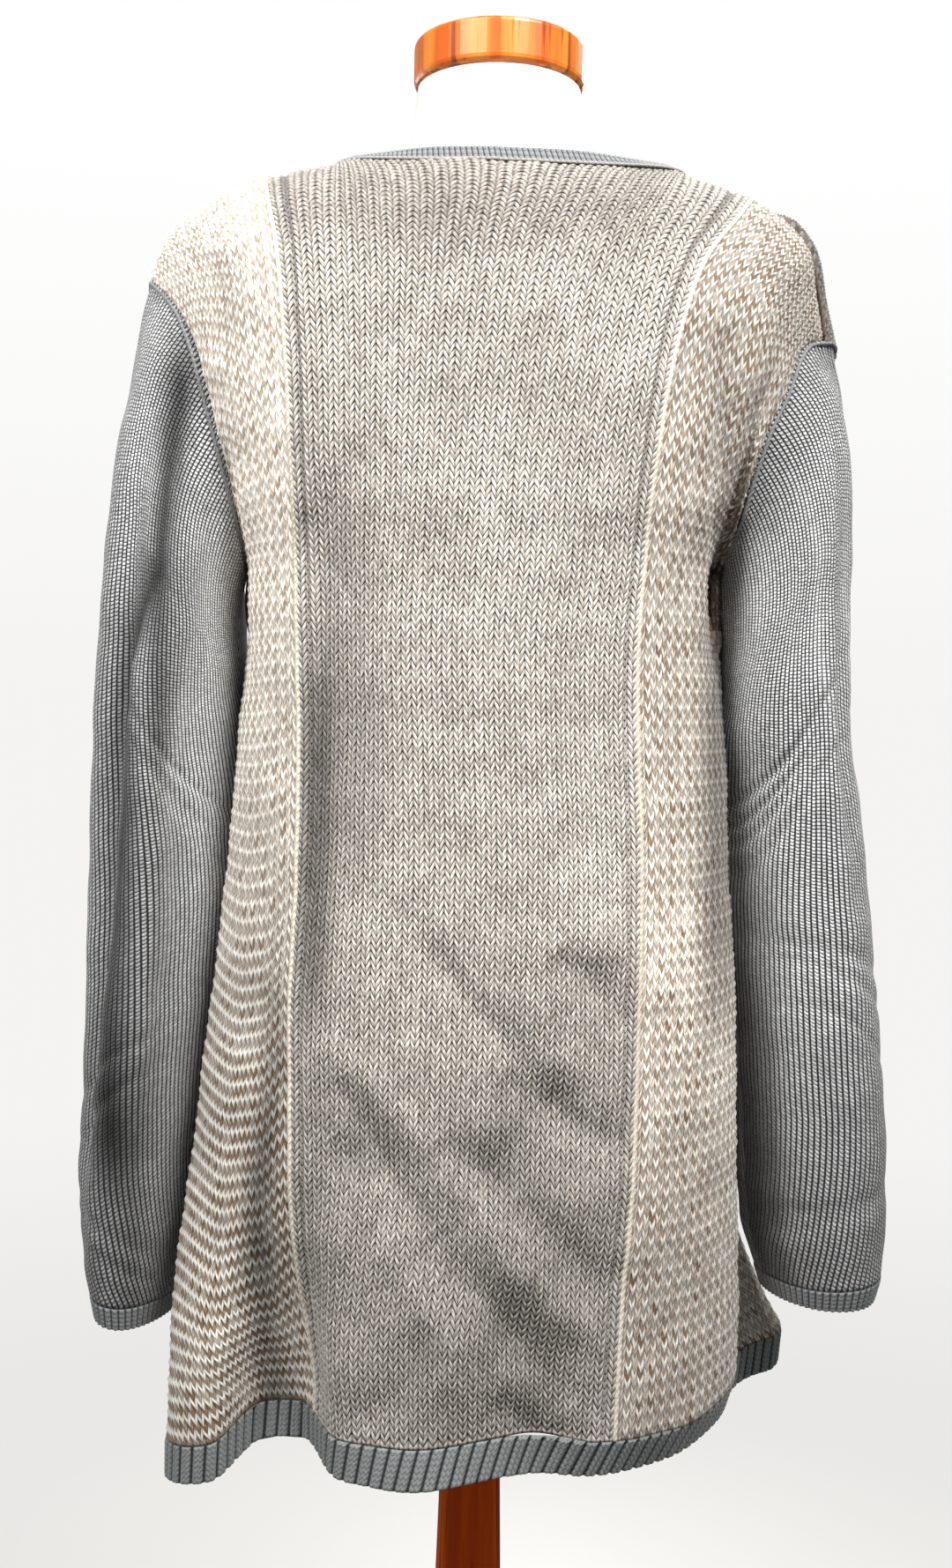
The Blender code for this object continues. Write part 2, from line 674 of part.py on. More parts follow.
class Grid:
    """A rectangle of points of the garment surface that becomes one wall."""

    def __init__(self, name, points, wall, closed=False, trim=(1, 1, 1, 1)):
        self.name, self.p, self.wall = name, points, wall
        self.closed, self.trim = closed, trim  # trim: which of bottom, top, start, end is cut back
        self.limb = int(name.startswith(("sleeve", "cuff")))


def apart(edge, inside, normal, closed):
    """Half the seam's gap for each point of an edge, square to the plane that parts it from the
    next piece."""
    if closed:
        along_edge = np.roll(edge, -1, 0) - np.roll(edge, 1, 0)
    else:
        ends = np.concatenate([edge[:1], edge, edge[-1:]])
        along_edge = ends[2:] - ends[:-2]
    b = np.cross(normal, along_edge)
    b /= np.maximum(np.linalg.norm(b, axis=-1, keepdims=True), 1e-12)
    way = np.sign((b * (inside - edge)).sum(-1, keepdims=True))
    return b * way * GAP / 2


def cloth(grids):
    """Normals shared within the body and within each sleeve, then each piece as a wall with its
    edges cut back. Where a sleeve carries on from the body the two share a mitre; in the armpit,
    where it folds back against the body, each keeps its own direction and the sleeve stands off."""
    sums = ({}, {})
    for g in grids:
        rows, cols = g.p.shape[:2]
        last = cols if g.closed else cols - 1
        for i in range(rows - 1):
            for j in range(last):
                a, b = g.p[i, j], g.p[i, (j + 1) % cols]
                c, d = g.p[i + 1, (j + 1) % cols], g.p[i + 1, j]
                n = np.cross(c - a, d - b)
                for q in (a, b, c, d):
                    k = key(q)
                    sums[g.limb][k] = sums[g.limb].get(k, 0) + n
    for g in grids:
        rows, cols = g.p.shape[:2]
        p, n, off = g.p, np.zeros_like(g.p), np.zeros_like(g.p)
        for i in range(rows):
            for j in range(cols):
                k = key(p[i, j])
                own, other = sums[g.limb][k], sums[1 - g.limb].get(k)
                own = own / np.linalg.norm(own)
                if other is not None:
                    other = other / np.linalg.norm(other)
                    w = min(max((own @ other + 0.5) / 0.5, 0.0), 1.0)
                    w = w * w * (3 - 2 * w)
                    own = own + w * other
                    own /= np.linalg.norm(own)
                    if g.limb:
                        off[i, j] = other * GAP * (1 - w)
                n[i, j] = own
        q = p + off
        if g.trim[0]:
            q[0] += apart(p[0], p[1], n[0], g.closed)
        if g.trim[1]:
            q[-1] += apart(p[-1], p[-2], n[-1], g.closed)
        if not g.closed and g.trim[2]:
            q[:, 0] += apart(p[:, 0], p[:, 1], n[:, 0], False)
        if not g.closed and g.trim[3]:
            q[:, -1] += apart(p[:, -1], p[:, -2], n[:, -1], False)
        wall(g, q, q - n * g.wall)


def wall(g, outer, inner):
    rows, cols = outer.shape[:2]
    verts = [tuple(v) for v in outer.reshape(-1, 3)] + [tuple(v) for v in inner.reshape(-1, 3)]
    m = rows * cols
    at = lambda i, j: i * cols + j % cols
    faces = []
    last = cols if g.closed else cols - 1

    def quad(a, b, c, d):
        faces.append((a, b, c))
        faces.append((a, c, d))

    for i in range(rows - 1):
        for j in range(last):
            a, b, c, d = at(i, j), at(i, j + 1), at(i + 1, j + 1), at(i + 1, j)
            quad(a, b, c, d)
            quad(d + m, c + m, b + m, a + m)
    # two walls that meet at a seam split their end faces the same way
    order = g.p.reshape(-1, 3) @ np.array([0.13, 0.37, 1.0])

    def end(*four):
        k = max(range(4), key=lambda n: order[four[n]] if four[n] < m else -9.0)
        quad(*(four[k:] + four[:k]))

    for j in range(last):
        end(at(0, j) + m, at(0, j + 1) + m, at(0, j + 1), at(0, j))
        e = rows - 1
        end(at(e, j), at(e, j + 1), at(e, j + 1) + m, at(e, j) + m)
    if not g.closed:
        for i in range(rows - 1):
            end(at(i, 0) + m, at(i, 0), at(i + 1, 0), at(i + 1, 0) + m)
            e = cols - 1
            end(at(i, e), at(i, e) + m, at(i + 1, e) + m, at(i + 1, e))
    solid(g.name, verts, faces)


# ------------------------------------------------------------------- materials
COLOURS = {
    "beige_knit": ((0.48, 0.43, 0.37, 1), 0.9),
    "cream_knit": ((0.74, 0.67, 0.56, 1), 0.9),
    "blue_knit": ((0.22, 0.25, 0.29, 1), 0.9),
    "blue_rib": ((0.13, 0.17, 0.19, 1), 0.9),
    "jersey": ((0.86, 0.85, 0.83, 1), 0.8),
    "light_wood": ((0.72, 0.28, 0.06, 1), 0.35),
    "dark_wood": ((0.28, 0.08, 0.02, 1), 0.4),
}


def material(name):
    found = bpy.data.materials.get(name)
    if found:
        return found
    mat = bpy.data.materials.new(name)
    mat.use_nodes = True
    shader = mat.node_tree.nodes["Principled BSDF"]
    colour, rough = COLOURS[name]
    shader.inputs["Base Color"].default_value = colour
    shader.inputs["Roughness"].default_value = rough
    shader.inputs["Metallic"].default_value = 0.0
    return mat


FINISH = {}


def solid(name, verts, faces):
    mesh = bpy.data.meshes.new(name)
    mesh.from_pydata(verts, [], faces)
    mesh.update()
    mesh.shade_smooth()
    mesh.materials.append(material(FINISH[name]))
    bpy.context.collection.objects.link(bpy.data.objects.new(name, mesh))


def turned(name, profile, steps):
    """A round piece from its profile of (radius, height), bottom to top, closed on the axis."""
    bm = bmesh.new()
    verts = [bm.verts.new((r, 0, z)) for r, z in profile]
    edges = [bm.edges.new(pair) for pair in zip(verts, verts[1:])]
    bmesh.ops.spin(
        bm, geom=verts + edges, cent=(0, 0, 0), axis=(0, 0, 1), angle=2 * math.pi, steps=steps,
        use_merge=True,
    )
    bmesh.ops.remove_doubles(bm, verts=bm.verts, dist=1e-6)
    bmesh.ops.recalc_face_normals(bm, faces=bm.faces)
    mesh = bpy.data.meshes.new(name)
    bm.to_mesh(mesh)
    bm.free()
    mesh.shade_smooth()
    mesh.set_sharp_from_angle(angle=math.radians(40))
    mesh.materials.append(material(FINISH[name]))
    bpy.context.collection.objects.link(bpy.data.objects.new(name, mesh))


# --------------------------------------------------------------- the dress form
# The torso's ring at each height: half-width and depth of back and front.
FORM = table("""
z      half   back   front
0.745  0.144  0.086  -0.098
0.760  0.148  0.089  -0.102
0.820  0.151  0.091  -0.106
0.900  0.143  0.086  -0.100
0.990  0.122  0.078  -0.090
1.060  0.119  0.078  -0.092
1.130  0.124  0.083  -0.104
1.200  0.131  0.088  -0.114
1.260  0.143  0.088  -0.106
1.310  0.160  0.080  -0.090
""")
FORM_CLEAR = 0.0120      # between the torso and the outside of the cloth over the shoulders
# Rings under the shoulder seams, and how far forward the chest may reach in each.
SHOULDER_RINGS = table("""
z      chest
1.335  0.074
1.350  0.064
1.362  0.056
1.372  0.050
1.380  0.046
""")
NECK_RINGS = table("""
z      radius
1.389  0.0800
1.398  0.0660
1.410  0.0590
1.424  0.0550
1.442  0.0525
1.4609 0.0515
""")
FORM_AROUND = 40


def form_ring(z):
    """One ring of the torso, counter-clockwise from above."""
    pts = []
    for k in range(FORM_AROUND):
        a = 2 * math.pi * k / FORM_AROUND
        c, s = math.cos(a), math.sin(a)
        face = 1 if s >= 0 else -1
        if z <= 1.31:
            p = 2 / 2.3
            x = along(FORM, "half", z) * math.copysign(abs(c) ** p, c)
            y = along(FORM, "back" if face > 0 else "front", z) * abs(s) ** p
        else:
            half = form_half(z)
            x = half * c
            y = face * form_depth(x, z, face, half)
        pts.append((float(x), float(y), z))
    return pts


def form_half(z):
    """Half-width of the torso under the shoulder seams."""
    best = 0.0
    for x in np.linspace(0.10, 0.187, 60):
        if min(float(ridge(x)[0]), float(ridge(-x)[0])) - FORM_CLEAR >= z:
            best = float(x)
    return best


def form_depth(x, z, face, half):
    """Depth of the torso just inside the cloth, rounded off towards its own edge."""
    y = face * float(skin_y(np.array(x), np.array(z + FORM_CLEAR), face)) - FORM_CLEAR
    if face < 0:
        y = min(y, float(along(SHOULDER_RINGS, "chest", z)))
    u = min(abs(x) / half, 1.0)
    return max(y, 0.004) * math.sqrt(max(1 - u**6, 0.0))


def dress_form():
    rings = [form_ring(float(z)) for z in (*FORM["z"], *SHOULDER_RINGS["z"])]
    for z, r in zip(NECK_RINGS["z"], NECK_RINGS["radius"]):
        blend = []
        for k in range(FORM_AROUND):
            a = 2 * math.pi * k / FORM_AROUND
            blend.append((r * math.cos(a), min(r, 0.058) * math.sin(a), float(z)))
        rings.append(blend)
    n = FORM_AROUND
    verts = [v for ring in rings for v in ring]
    faces = []
    for i in range(len(rings) - 1):
        for j in range(n):
            a, b = i * n + j, i * n + (j + 1) % n
            faces.append((a, b, b + n))
            faces.append((a, b + n, a + n))
    low, high = len(verts), len(verts) + 1
    verts += [(0.0, 0.0, rings[0][0][2]), (0.0, 0.0, rings[-1][0][2])]
    top = (len(rings) - 1) * n
    for j in range(n):
        faces.append((low, (j + 1) % n, j))
        faces.append((high, top + j, top + (j + 1) % n))
    solid("dress_form_torso", verts, faces)


# ------------------------------------------------------------------------ build
def main():
    for obj in list(bpy.data.objects):
        bpy.data.objects.remove(obj, do_unlink=True)
    FINISH.update(
        back_panel="beige_knit", front_panel="beige_knit",
        back_side_left="cream_knit", back_side_right="cream_knit",
        front_side_left="cream_knit", front_side_right="cream_knit",
        sleeve_left="blue_knit", sleeve_right="blue_knit",
        cuff_left="blue_rib", cuff_right="blue_rib", neckband="blue_rib",
        hem_band_back="blue_rib", hem_band_front="blue_rib",
        dress_form_torso="jersey", neck_cap="light_wood", pole="dark_wood", base_plate="dark_wood",
    )
    # rows crowd towards the shoulder, where the surface turns quickly
    up = 1 - (1 - seg(0, 1, TOP_ROWS)) ** 1.5
    t = np.concatenate([seg(-1, 0, LOW_ROWS)[:-1], up])[:, None]
    grids = []
    for face, front in ((1, "back"), (-1, "front")):
        p = centre_panel(centre_columns()[None, :], t, face)
        grids.append(Grid(front + "_panel", p[:, ::-1] if face > 0 else p, WALL_BODY))
        for side, word in ((1, "left"), (-1, "right")):
            s = np.array([SIDE_COLS])
            p = side_panel(s, t, side, face)
            if side * face > 0:
                p = p[:, ::-1]
            grids.append(Grid(f"{front}_side_{word}", p, WALL_BODY))
        ends, sides = np.array([[0.0], [1.0]]), np.array([SIDE_COLS])
        p = np.concatenate([
            hem_point(-1, sides[:, ::-1], ends, face)[:, :-1],
            hem_point(0, centre_columns()[None, :], ends, face),
            hem_point(1, sides, ends, face)[:, 1:],
        ], 1)
        grids.append(Grid(f"hem_band_{front}", p[:, ::-1] if face > 0 else p, WALL_RIB, trim=(0, 1, 1, 1)))
    for side, word in ((1, "left"), (-1, "right")):
        # the loop's points are those of the panels' own edges, so that the seam meets
        a = np.concatenate([up / 2, 1 - up[::-1][1:-1] / 2])
        v = seg(0, 1, SLEEVE_ROWS)[:, None]
        p = sleeve(side, a[None, :], v)
        if side > 0:
            p = p[:, ::-1]
        p = p[::-1]  # rows run upwards
        grids.append(Grid(f"sleeve_{word}", p, WALL_SLEEVE, closed=True))
        c = sleeve(side, a[None, :], 1.0, np.array([[0.0], [1.0]]))
        if side > 0:
            c = c[:, ::-1]
        grids.append(Grid(f"cuff_{word}", c[::-1], WALL_RIB, closed=True, trim=(0, 1, 0, 0)))
    # the neckband stands on the panels' own points between the neck points
    loop, below = neck_loop(centre_columns()[2:-2])
    p = np.stack([neck_point(loop, below, 0.0), neck_point(loop, below, 1.0)])
    grids.append(Grid("neckband", p[:, ::-1], WALL_RIB, closed=True, trim=(1, 0, 0, 0)))
    cloth(grids)

    dress_form()
    turned("neck_cap", cap_profile(), 40)
    turned("pole", pole_profile(), 28)
    turned("base_plate", base_profile(), 48)


def arc(cx, cz, r, a0, a1, n):
    return [
        (cx + r * math.cos(math.radians(a)), cz + r * math.sin(math.radians(a)))
        for a in np.linspace(a0, a1, n + 1)
    ]


def cap_profile():
    r = 0.005
    return (
        [(0.0, CAP_BOTTOM)]
        + arc(CAP_RADIUS - r, CAP_BOTTOM + r, r, -90, 0, 4)
        + arc(CAP_RADIUS - 0.003, CAP_TOP - 0.003, 0.003, 0, 90, 3)
        + [(0.0, CAP_TOP)]
    )


def pole_profile():
    top, low = FORM_BOTTOM - GAP, BASE_THICK + GAP
    return [
        (0.0, low), (POLE_RADIUS + 0.004, low), (POLE_RADIUS + 0.004, low + 0.018),
        (POLE_RADIUS, low + 0.030), (POLE_RADIUS + 0.0005, 0.30), (POLE_RADIUS, 0.50),
        (POLE_TOP_RADIUS, 0.62), (POLE_TOP_RADIUS, top), (0.0, top),
    ]


def base_profile():
    r = 0.008
    return (
        [(0.0, 0.0), (BASE_RADIUS - 0.004, 0.0), (BASE_RADIUS, 0.004)]
        + arc(BASE_RADIUS - r, BASE_THICK - r, r, 0, 90, 4)
        + [(0.0, BASE_THICK)]
    )


main()
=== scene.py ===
"""Looks of the long-sleeved knitted sweater on its dress form.

Metres, +Z up, the garment's front faces -Y and the wearer's left is +X. The first half gives the
garment's surface from its sizes and tables; the second turns it into knitted cloth.
"""
import math

import bpy
import numpy as np
from mathutils import Matrix, Vector


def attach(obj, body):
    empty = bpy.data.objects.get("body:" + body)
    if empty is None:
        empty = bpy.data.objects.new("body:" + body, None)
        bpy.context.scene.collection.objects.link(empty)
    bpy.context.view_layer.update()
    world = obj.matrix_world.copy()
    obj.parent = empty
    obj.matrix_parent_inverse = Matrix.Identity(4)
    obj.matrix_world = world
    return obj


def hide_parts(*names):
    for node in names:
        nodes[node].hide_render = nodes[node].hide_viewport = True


# ---------------------------------------------------------------- named sizes
GAP = 0.0003            # between pieces at a seam
WALL_BODY = 0.0026      # heavy knit of the body panels
WALL_SLEEVE = 0.0022    # finer knit of the sleeves
WALL_RIB = 0.0030       # ribbed bands
HEM_BAND = 0.0235       # height of the ribbed hem
NECK_BAND = 0.0095      # height of the ribbed neckband
NECK_LEAN = 0.28        # the neckband leans in towards the neck by this slope
NECK_SIDE_LEAN = 0.55   # and by this much more at the sides of the neck
NECK_BACK, NECK_FRONT = 1.3955, 1.347  # height of the panels at the middle of the neck
NECK_ARCH = 0.030       # rise of the shoulder line's arch over the neck
SLEEVE_LEAN = 0.34      # shear of each sleeve's inner side, its front towards the body
UNDERARM_Z = 1.157
SHOULDER_ROUND = 0.085  # height over which the shoulder rolls into the back
SECTION_POWER = 2.45    # fullness of the body's ring section

CENTRE_COLS = 14
SIDE_COLS = (0.0, 0.27, 0.52, 0.70, 0.85, 1.0)
LOW_ROWS, TOP_ROWS = 13, 8
SLEEVE_ROWS = 17

CAP_RADIUS, CAP_BOTTOM, CAP_TOP = 0.054, 1.4612, 1.4885
POLE_TOP_RADIUS, POLE_RADIUS = 0.0185, 0.0215
BASE_RADIUS, BASE_THICK = 0.170, 0.022
FORM_BOTTOM, FORM_NECK_RADIUS = 0.745, 0.0515


def table(text):
    """A short table. The first line names the columns, each later line is one section."""
    lines = [line.split() for line in text.strip().splitlines()]
    data = np.array([[float(v) for v in line] for line in lines[1:]])
    return {name: data[:, i] for i, name in enumerate(lines[0])}


def along(tab, name, at, key="z"):
    """A column of a table as a smooth curve of its key that never overshoots its rows."""
    x, y = tab[key], tab[name]
    h = np.diff(x)
    d = np.diff(y) / h
    m = np.zeros_like(y)
    m[0], m[-1] = d[0], d[-1]
    same = d[:-1] * d[1:] > 0
    m[1:-1][same] = 2 * (d[:-1] * d[1:])[same] / (d[:-1] + d[1:])[same]
    at = np.asarray(at, float)
    i = np.clip(np.searchsorted(x, at) - 1, 0, len(x) - 2)
    u = np.clip((at - x[i]) / h[i], 0, 1)
    return (
        y[i] * (1 + 2 * u) * (1 - u) ** 2
        + m[i] * h[i] * u * (1 - u) ** 2
        + y[i + 1] * u * u * (3 - 2 * u)
        + m[i + 1] * h[i] * u * u * (u - 1)
    )


# The body's ring at each height: its reach to the wearer's left and right, the
# depth of its back and front, and how far back each side seam lies.
BODY = table("""
z      left   right  back   front  seam_l  seam_r
0.600  0.192  0.174  0.118  -0.150   0.033  -0.015
0.660  0.191  0.173  0.118  -0.146   0.028  -0.012
0.730  0.188  0.171  0.116  -0.138   0.018  -0.008
0.800  0.181  0.168  0.113  -0.130   0.010  -0.004
0.870  0.174  0.164  0.110  -0.124   0.005   0.000
0.970  0.164  0.158  0.106  -0.117   0.000   0.000
1.070  0.157  0.151  0.103  -0.117   0.000   0.000
1.157  0.153  0.146  0.103  -0.124   0.000   0.000
1.200  0.172  0.170  0.104  -0.127   0.000   0.000
1.250  0.197  0.195  0.104  -0.123   0.000   0.000
1.300  0.218  0.216  0.101  -0.112   0.000   0.000
1.345  0.228  0.228  0.095  -0.099   0.000   0.000
1.420  0.232  0.232  0.085  -0.082   0.000   0.000
""")

# Where the two raised lines cross the back at each height, and the like lines on the front.
LINES = table("""
z      left   right  front_l front_r
0.600  0.093  0.084  0.098   0.098
0.660  0.097  0.086  0.097   0.097
0.730  0.107  0.089  0.096   0.096
0.790  0.112  0.092  0.095   0.095
0.870  0.114  0.094  0.094   0.094
0.970  0.113  0.094  0.092   0.092
1.070  0.115  0.090  0.091   0.091
1.110  0.116  0.089  0.091   0.091
1.170  0.117  0.092  0.092   0.092
1.235  0.120  0.098  0.095   0.095
1.290  0.124  0.107  0.100   0.100
1.340  0.129  0.121  0.110   0.110
1.375  0.136  0.140  0.124   0.124
1.420  0.146  0.158  0.146   0.158
""")

# The shoulder seams, from the neck point to the top of the armhole. The right one
# has slipped towards the back, so a strip of the front shows beyond it.
SHOULDER_L = table("""
u     x      y       z
0.00  0.102  -0.004  1.4110
0.25  0.135  -0.008  1.4045
0.50  0.168  -0.010  1.3960
0.75  0.194  -0.008  1.3820
0.88  0.208   0.000  1.3620
1.00  0.217   0.010  1.3380
""")
SHOULDER_R = table("""
u     x      y      z
0.00  0.118  0.000  1.4090
0.20  0.141  0.004  1.4005
0.40  0.166  0.012  1.3885
0.55  0.182  0.019  1.3755
0.70  0.194  0.022  1.3600
0.85  0.201  0.022  1.3340
1.00  0.206  0.020  1.3060
""")

# The armholes from the underarm up to the shoulder seam, on the back and the front.
ARMHOLE_L = table("""
u     back_x  back_z  front_x  front_z
0.00  0.153   1.157   0.153    1.157
0.18  0.156   1.185   0.160    1.180
0.38  0.162   1.218   0.172    1.212
0.56  0.169   1.248   0.187    1.245
0.72  0.177   1.278   0.201    1.278
0.86  0.188   1.304   0.214    1.304
0.94  0.200   1.321   0.220    1.324
1.00  0.217   1.338   0.217    1.338
""")
ARMHOLE_R = table("""
u     back_x  back_z  front_x  front_z
0.00  0.146   1.157   0.146    1.157
0.18  0.152   1.181   0.151    1.178
0.38  0.158   1.212   0.163    1.204
0.55  0.165   1.240   0.180    1.237
0.70  0.178   1.268   0.196    1.266
0.82  0.186   1.290   0.205    1.288
0.92  0.196   1.303   0.209    1.302
1.00  0.206   1.306   0.206    1.306
""")

# Each sleeve from the armhole (v 0) to the cuff (v 1): its outer and inner edge
# seen from behind, and the depth of its back and front.
SLEEVE_L = table("""
v     out_x  out_z  in_x   in_z   back   front
0.00  0.217  1.330  0.160  1.150  0.046  -0.044
0.08  0.231  1.290  0.163  1.125  0.056  -0.056
0.17  0.238  1.227  0.163  1.098  0.061  -0.062
0.28  0.245  1.160  0.162  1.066  0.062  -0.064
0.40  0.250  1.069  0.163  1.020  0.060  -0.063
0.52  0.252  0.978  0.166  0.960  0.056  -0.060
0.64  0.255  0.898  0.174  0.890  0.052  -0.057
0.77  0.259  0.810  0.183  0.815  0.049  -0.054
0.86  0.260  0.762  0.190  0.765  0.045  -0.050
0.95  0.255  0.706  0.197  0.702  0.039  -0.043
1.00  0.250  0.690  0.200  0.684  0.037  -0.040
""")
SLEEVE_R = table("""
v     out_x  out_z  in_x   in_z   back   front
0.00  0.213  1.303  0.153  1.150  0.045  -0.045
0.08  0.227  1.259  0.155  1.125  0.055  -0.058
0.17  0.230  1.205  0.154  1.096  0.060  -0.064
0.28  0.230  1.136  0.152  1.060  0.060  -0.066
0.38  0.232  1.079  0.156  1.025  0.058  -0.066
0.49  0.241  1.011  0.159  0.975  0.055  -0.064
0.60  0.250  0.945  0.164  0.930  0.052  -0.062
0.72  0.259  0.870  0.169  0.868  0.050  -0.058
0.85  0.266  0.790  0.175  0.790  0.048  -0.054
0.94  0.267  0.742  0.180  0.740  0.044  -0.049
1.00  0.265  0.711  0.190  0.706  0.040  -0.044
""")
CUFFS = {  # how far each cuff drops at its outer and inner edge, and how much it draws in
    +1: {"drop_out": 0.0150, "drop_in": 0.0150, "draw": 0.003},
    -1: {"drop_out": 0.0160, "drop_in": 0.0130, "draw": 0.004},
}

# The seam on top of the hem band, by angle round the ring from the back's or front's centre,
# and how far the band below it tucks under, in degrees.
HEM_BACK = table("""
angle  z       tuck
-90    0.6380  15
-75    0.6430  18
-60    0.6410  22
-45    0.6380  22
-25    0.6390  14
-7     0.6440   0
 10    0.6385 -12
 22    0.6380   0
 32    0.6430   6
 42    0.6390   6
 48    0.6330   2
 54    0.6250   0
 64    0.6210   0
 76    0.6150   0
 90    0.6060   0
""")
HEM_FRONT = table("""
angle  z       tuck
-90    0.6380  15
-75    0.6420   8
-55    0.6420   8
-20    0.6400   0
 20    0.6380   0
 60    0.6250   0
 90    0.6060   0
""")

# Main folds: a soft trough (depth below 0) or ridge along a line from one point to another
# across the panel, in the plane seen from behind (face 1) or from the front (face -1). One with
# an edge above 3 is a recess with a flat bed and steep sides, set straight back.
FOLDS = table("""
face  x0      z0     x1      z1     width  depth   edge
 1     0.118  0.590   0.117  0.810  0.027  -0.046   4
 1     0.172  0.590   0.166  0.760  0.018   0.014   2
 1     0.030  0.590   0.045  0.720  0.026   0.007   2
 1    -0.030  0.600  -0.085  0.760  0.022  -0.008   2
 1    -0.040  0.800   0.030  0.640  0.024   0.007   2
 1    -0.062  0.860   0.000  0.780  0.024  -0.006   2
 1     0.085  1.230   0.094  0.950  0.022  -0.007   2
 1    -0.062  1.150  -0.070  0.930  0.024  -0.005   2
 1     0.000  1.230   0.010  0.980  0.050   0.004   2
-1     0.060  0.590   0.050  0.790  0.024  -0.016   2
-1    -0.020  0.590  -0.028  0.760  0.026   0.010   2
-1    -0.085  0.600  -0.070  0.800  0.022  -0.014   2
-1     0.120  0.600   0.112  0.760  0.024   0.010   2
-1    -0.045  1.230  -0.060  1.020  0.030  -0.006   2
-1     0.045  1.230   0.062  1.000  0.032  -0.006   2
""")

# The front's two corners swing out at the hem, by angle round the ring.
FLARES = table("""
side  top    out    angle  spread
-1    0.815  0.087   57    24
 1    0.760  0.012   60    24
""")

# Between the body and each sleeve the side panel folds in: a valley at a share of the panel's
# width, deepest at the underarm and gone by the share of the armhole's height in v_top.
VALLEYS = table("""
side  share  width  v_top  depth
-1    0.77   0.09   0.82   0.024
 1    0.86   0.08   0.60   0.008
""")

# Beyond the right shoulder seam the front rises over the shoulder's tip by this much.
CROWN = {+1: 0.004, -1: 0.018}

# Long soft folds down each sleeve: side, angle round the tube from its outer edge towards the
# back, the stretch it covers, width in degrees, and depth.
SLEEVE_FOLDS = table("""
side  angle0  angle1  v0    v1    width  depth
 1     66      36     0.04  0.94  19    -0.0150
 1    100     112     0.10  0.80  16     0.0040
 1    -80     -60     0.10  0.85  24    -0.0080
-1     38      52     0.08  0.60  15    -0.0060
-1     95     105     0.12  0.92  22    -0.0050
-1    -70     -95     0.10  0.80  24    -0.0080
""")


# ------------------------------------------------------------ the body surface
def reach(z, x):
    """Half-width of the ring on the side that x is on."""
    return np.where(np.asarray(x) >= 0, along(BODY, "left", z), along(BODY, "right", z))


def ring_y(x, z, face):
    """Depth of the body's surface at x and z, on the back (face 1) or the front (face -1)."""
    u = np.clip(np.abs(x) / reach(z, x), 0, 1)
    seam = np.where(np.asarray(x) >= 0, along(BODY, "seam_l", z), along(BODY, "seam_r", z))
    deep = along(BODY, "back" if face > 0 else "front", z)
    return seam + (deep - seam) * np.sqrt(np.clip(1 - u**SECTION_POWER, 0, 1))


def roll(below):
    """0 on the shoulder line, 1 once the cloth hangs free of it."""
    u = np.clip(below / SHOULDER_ROUND, 0, 1)
    return np.sqrt(np.clip(1 - (1 - u) ** 2, 0, 1))


def seg(a, b, n):
    return np.linspace(a, b, n + 1)


def hem_z(angle, face):
    return along(HEM_BACK if face > 0 else HEM_FRONT, "z", np.degrees(angle), "angle")


def crease(x, z, face, straight):
    """Shift of the body's surface from its folds: outward, or straight back for a recess."""
    total = np.zeros(np.broadcast(x, z).shape)
    for i in range(len(FOLDS["face"])):
        if FOLDS["face"][i] != face or (FOLDS["edge"][i] > 3) != straight:
            continue
        a = np.array([FOLDS["x0"][i], FOLDS["z0"][i]])
        b = np.array([FOLDS["x1"][i], FOLDS["z1"][i]])
        d = b - a
        size = math.hypot(*d)
        t = ((x - a[0]) * d[0] + (z - a[1]) * d[1]) / size**2
        off = ((x - a[0]) * d[1] - (z - a[1]) * d[0]) / size
        low_end = 1.0 if a[1] < 0.62 else None  # a fold that runs off the hem keeps its depth there
        tc = np.clip(t, 0, 1)
        if low_end:
            taper = np.cos(tc * math.pi / 2) ** 1.5
        else:
            taper = np.sin(tc * math.pi)
        across = np.exp(-(np.abs(off / FOLDS["width"][i]) ** FOLDS["edge"][i]))
        total += FOLDS["depth"][i] * taper * across
    return total


def flare(angle, z, face):
    """Sideways swing of the front's corners."""
    total = np.zeros(np.broadcast(angle, z).shape)
    if face > 0:
        return total
    for i in range(len(FLARES["side"])):
        side = FLARES["side"][i]
        up = np.clip((FLARES["top"][i] - z) / (FLARES["top"][i] - 0.61), 0, 1)
        off = (side * np.degrees(angle) - FLARES["angle"][i]) / FLARES["spread"][i]
        total += side * FLARES["out"][i] * up**1.6 * np.exp(-(off**2))
    return total


def valley(s, t, side):
    """How far a back side panel folds in beside the sleeve."""
    i = 0 if side < 0 else 1
    across = np.exp(-(((s - VALLEYS["share"][i]) / VALLEYS["width"][i]) ** 2))
    across = across * np.clip((1 - s) / 0.10, 0, 1)
    rise = np.clip(t / VALLEYS["v_top"][i], 0, 1)
    fall = np.clip(1 + t / 0.22, 0, 1)
    along_it = np.where(t >= 0, (1 - rise) ** 1.2, fall * fall * (3 - 2 * fall))
    return VALLEYS["depth"][i] * across * along_it


def outward(x, y, z):
    """Horizontal direction out of the body's ring."""
    a = reach(z, x)
    n = np.stack([x / a**2, y / 0.105**2, np.zeros_like(x)], -1)
    return n / np.maximum(np.linalg.norm(n, axis=-1, keepdims=True), 1e-9)


def settle(x, y, z, angle, face):
    """A point of the surface with its folds."""
    p = np.stack([x, y, z], -1)
    # a fold must not cross the side seam, where both panels share the edge
    edge = np.clip((math.pi / 2 - np.abs(angle)) / 0.30, 0, 1)
    p = p + outward(x, y, z) * (crease(x, z, face, False) * edge)[..., None]
    p[..., 1] += face * crease(x, z, face, True) * edge
    p[..., 0] += flare(angle, z, face) * edge
    return p


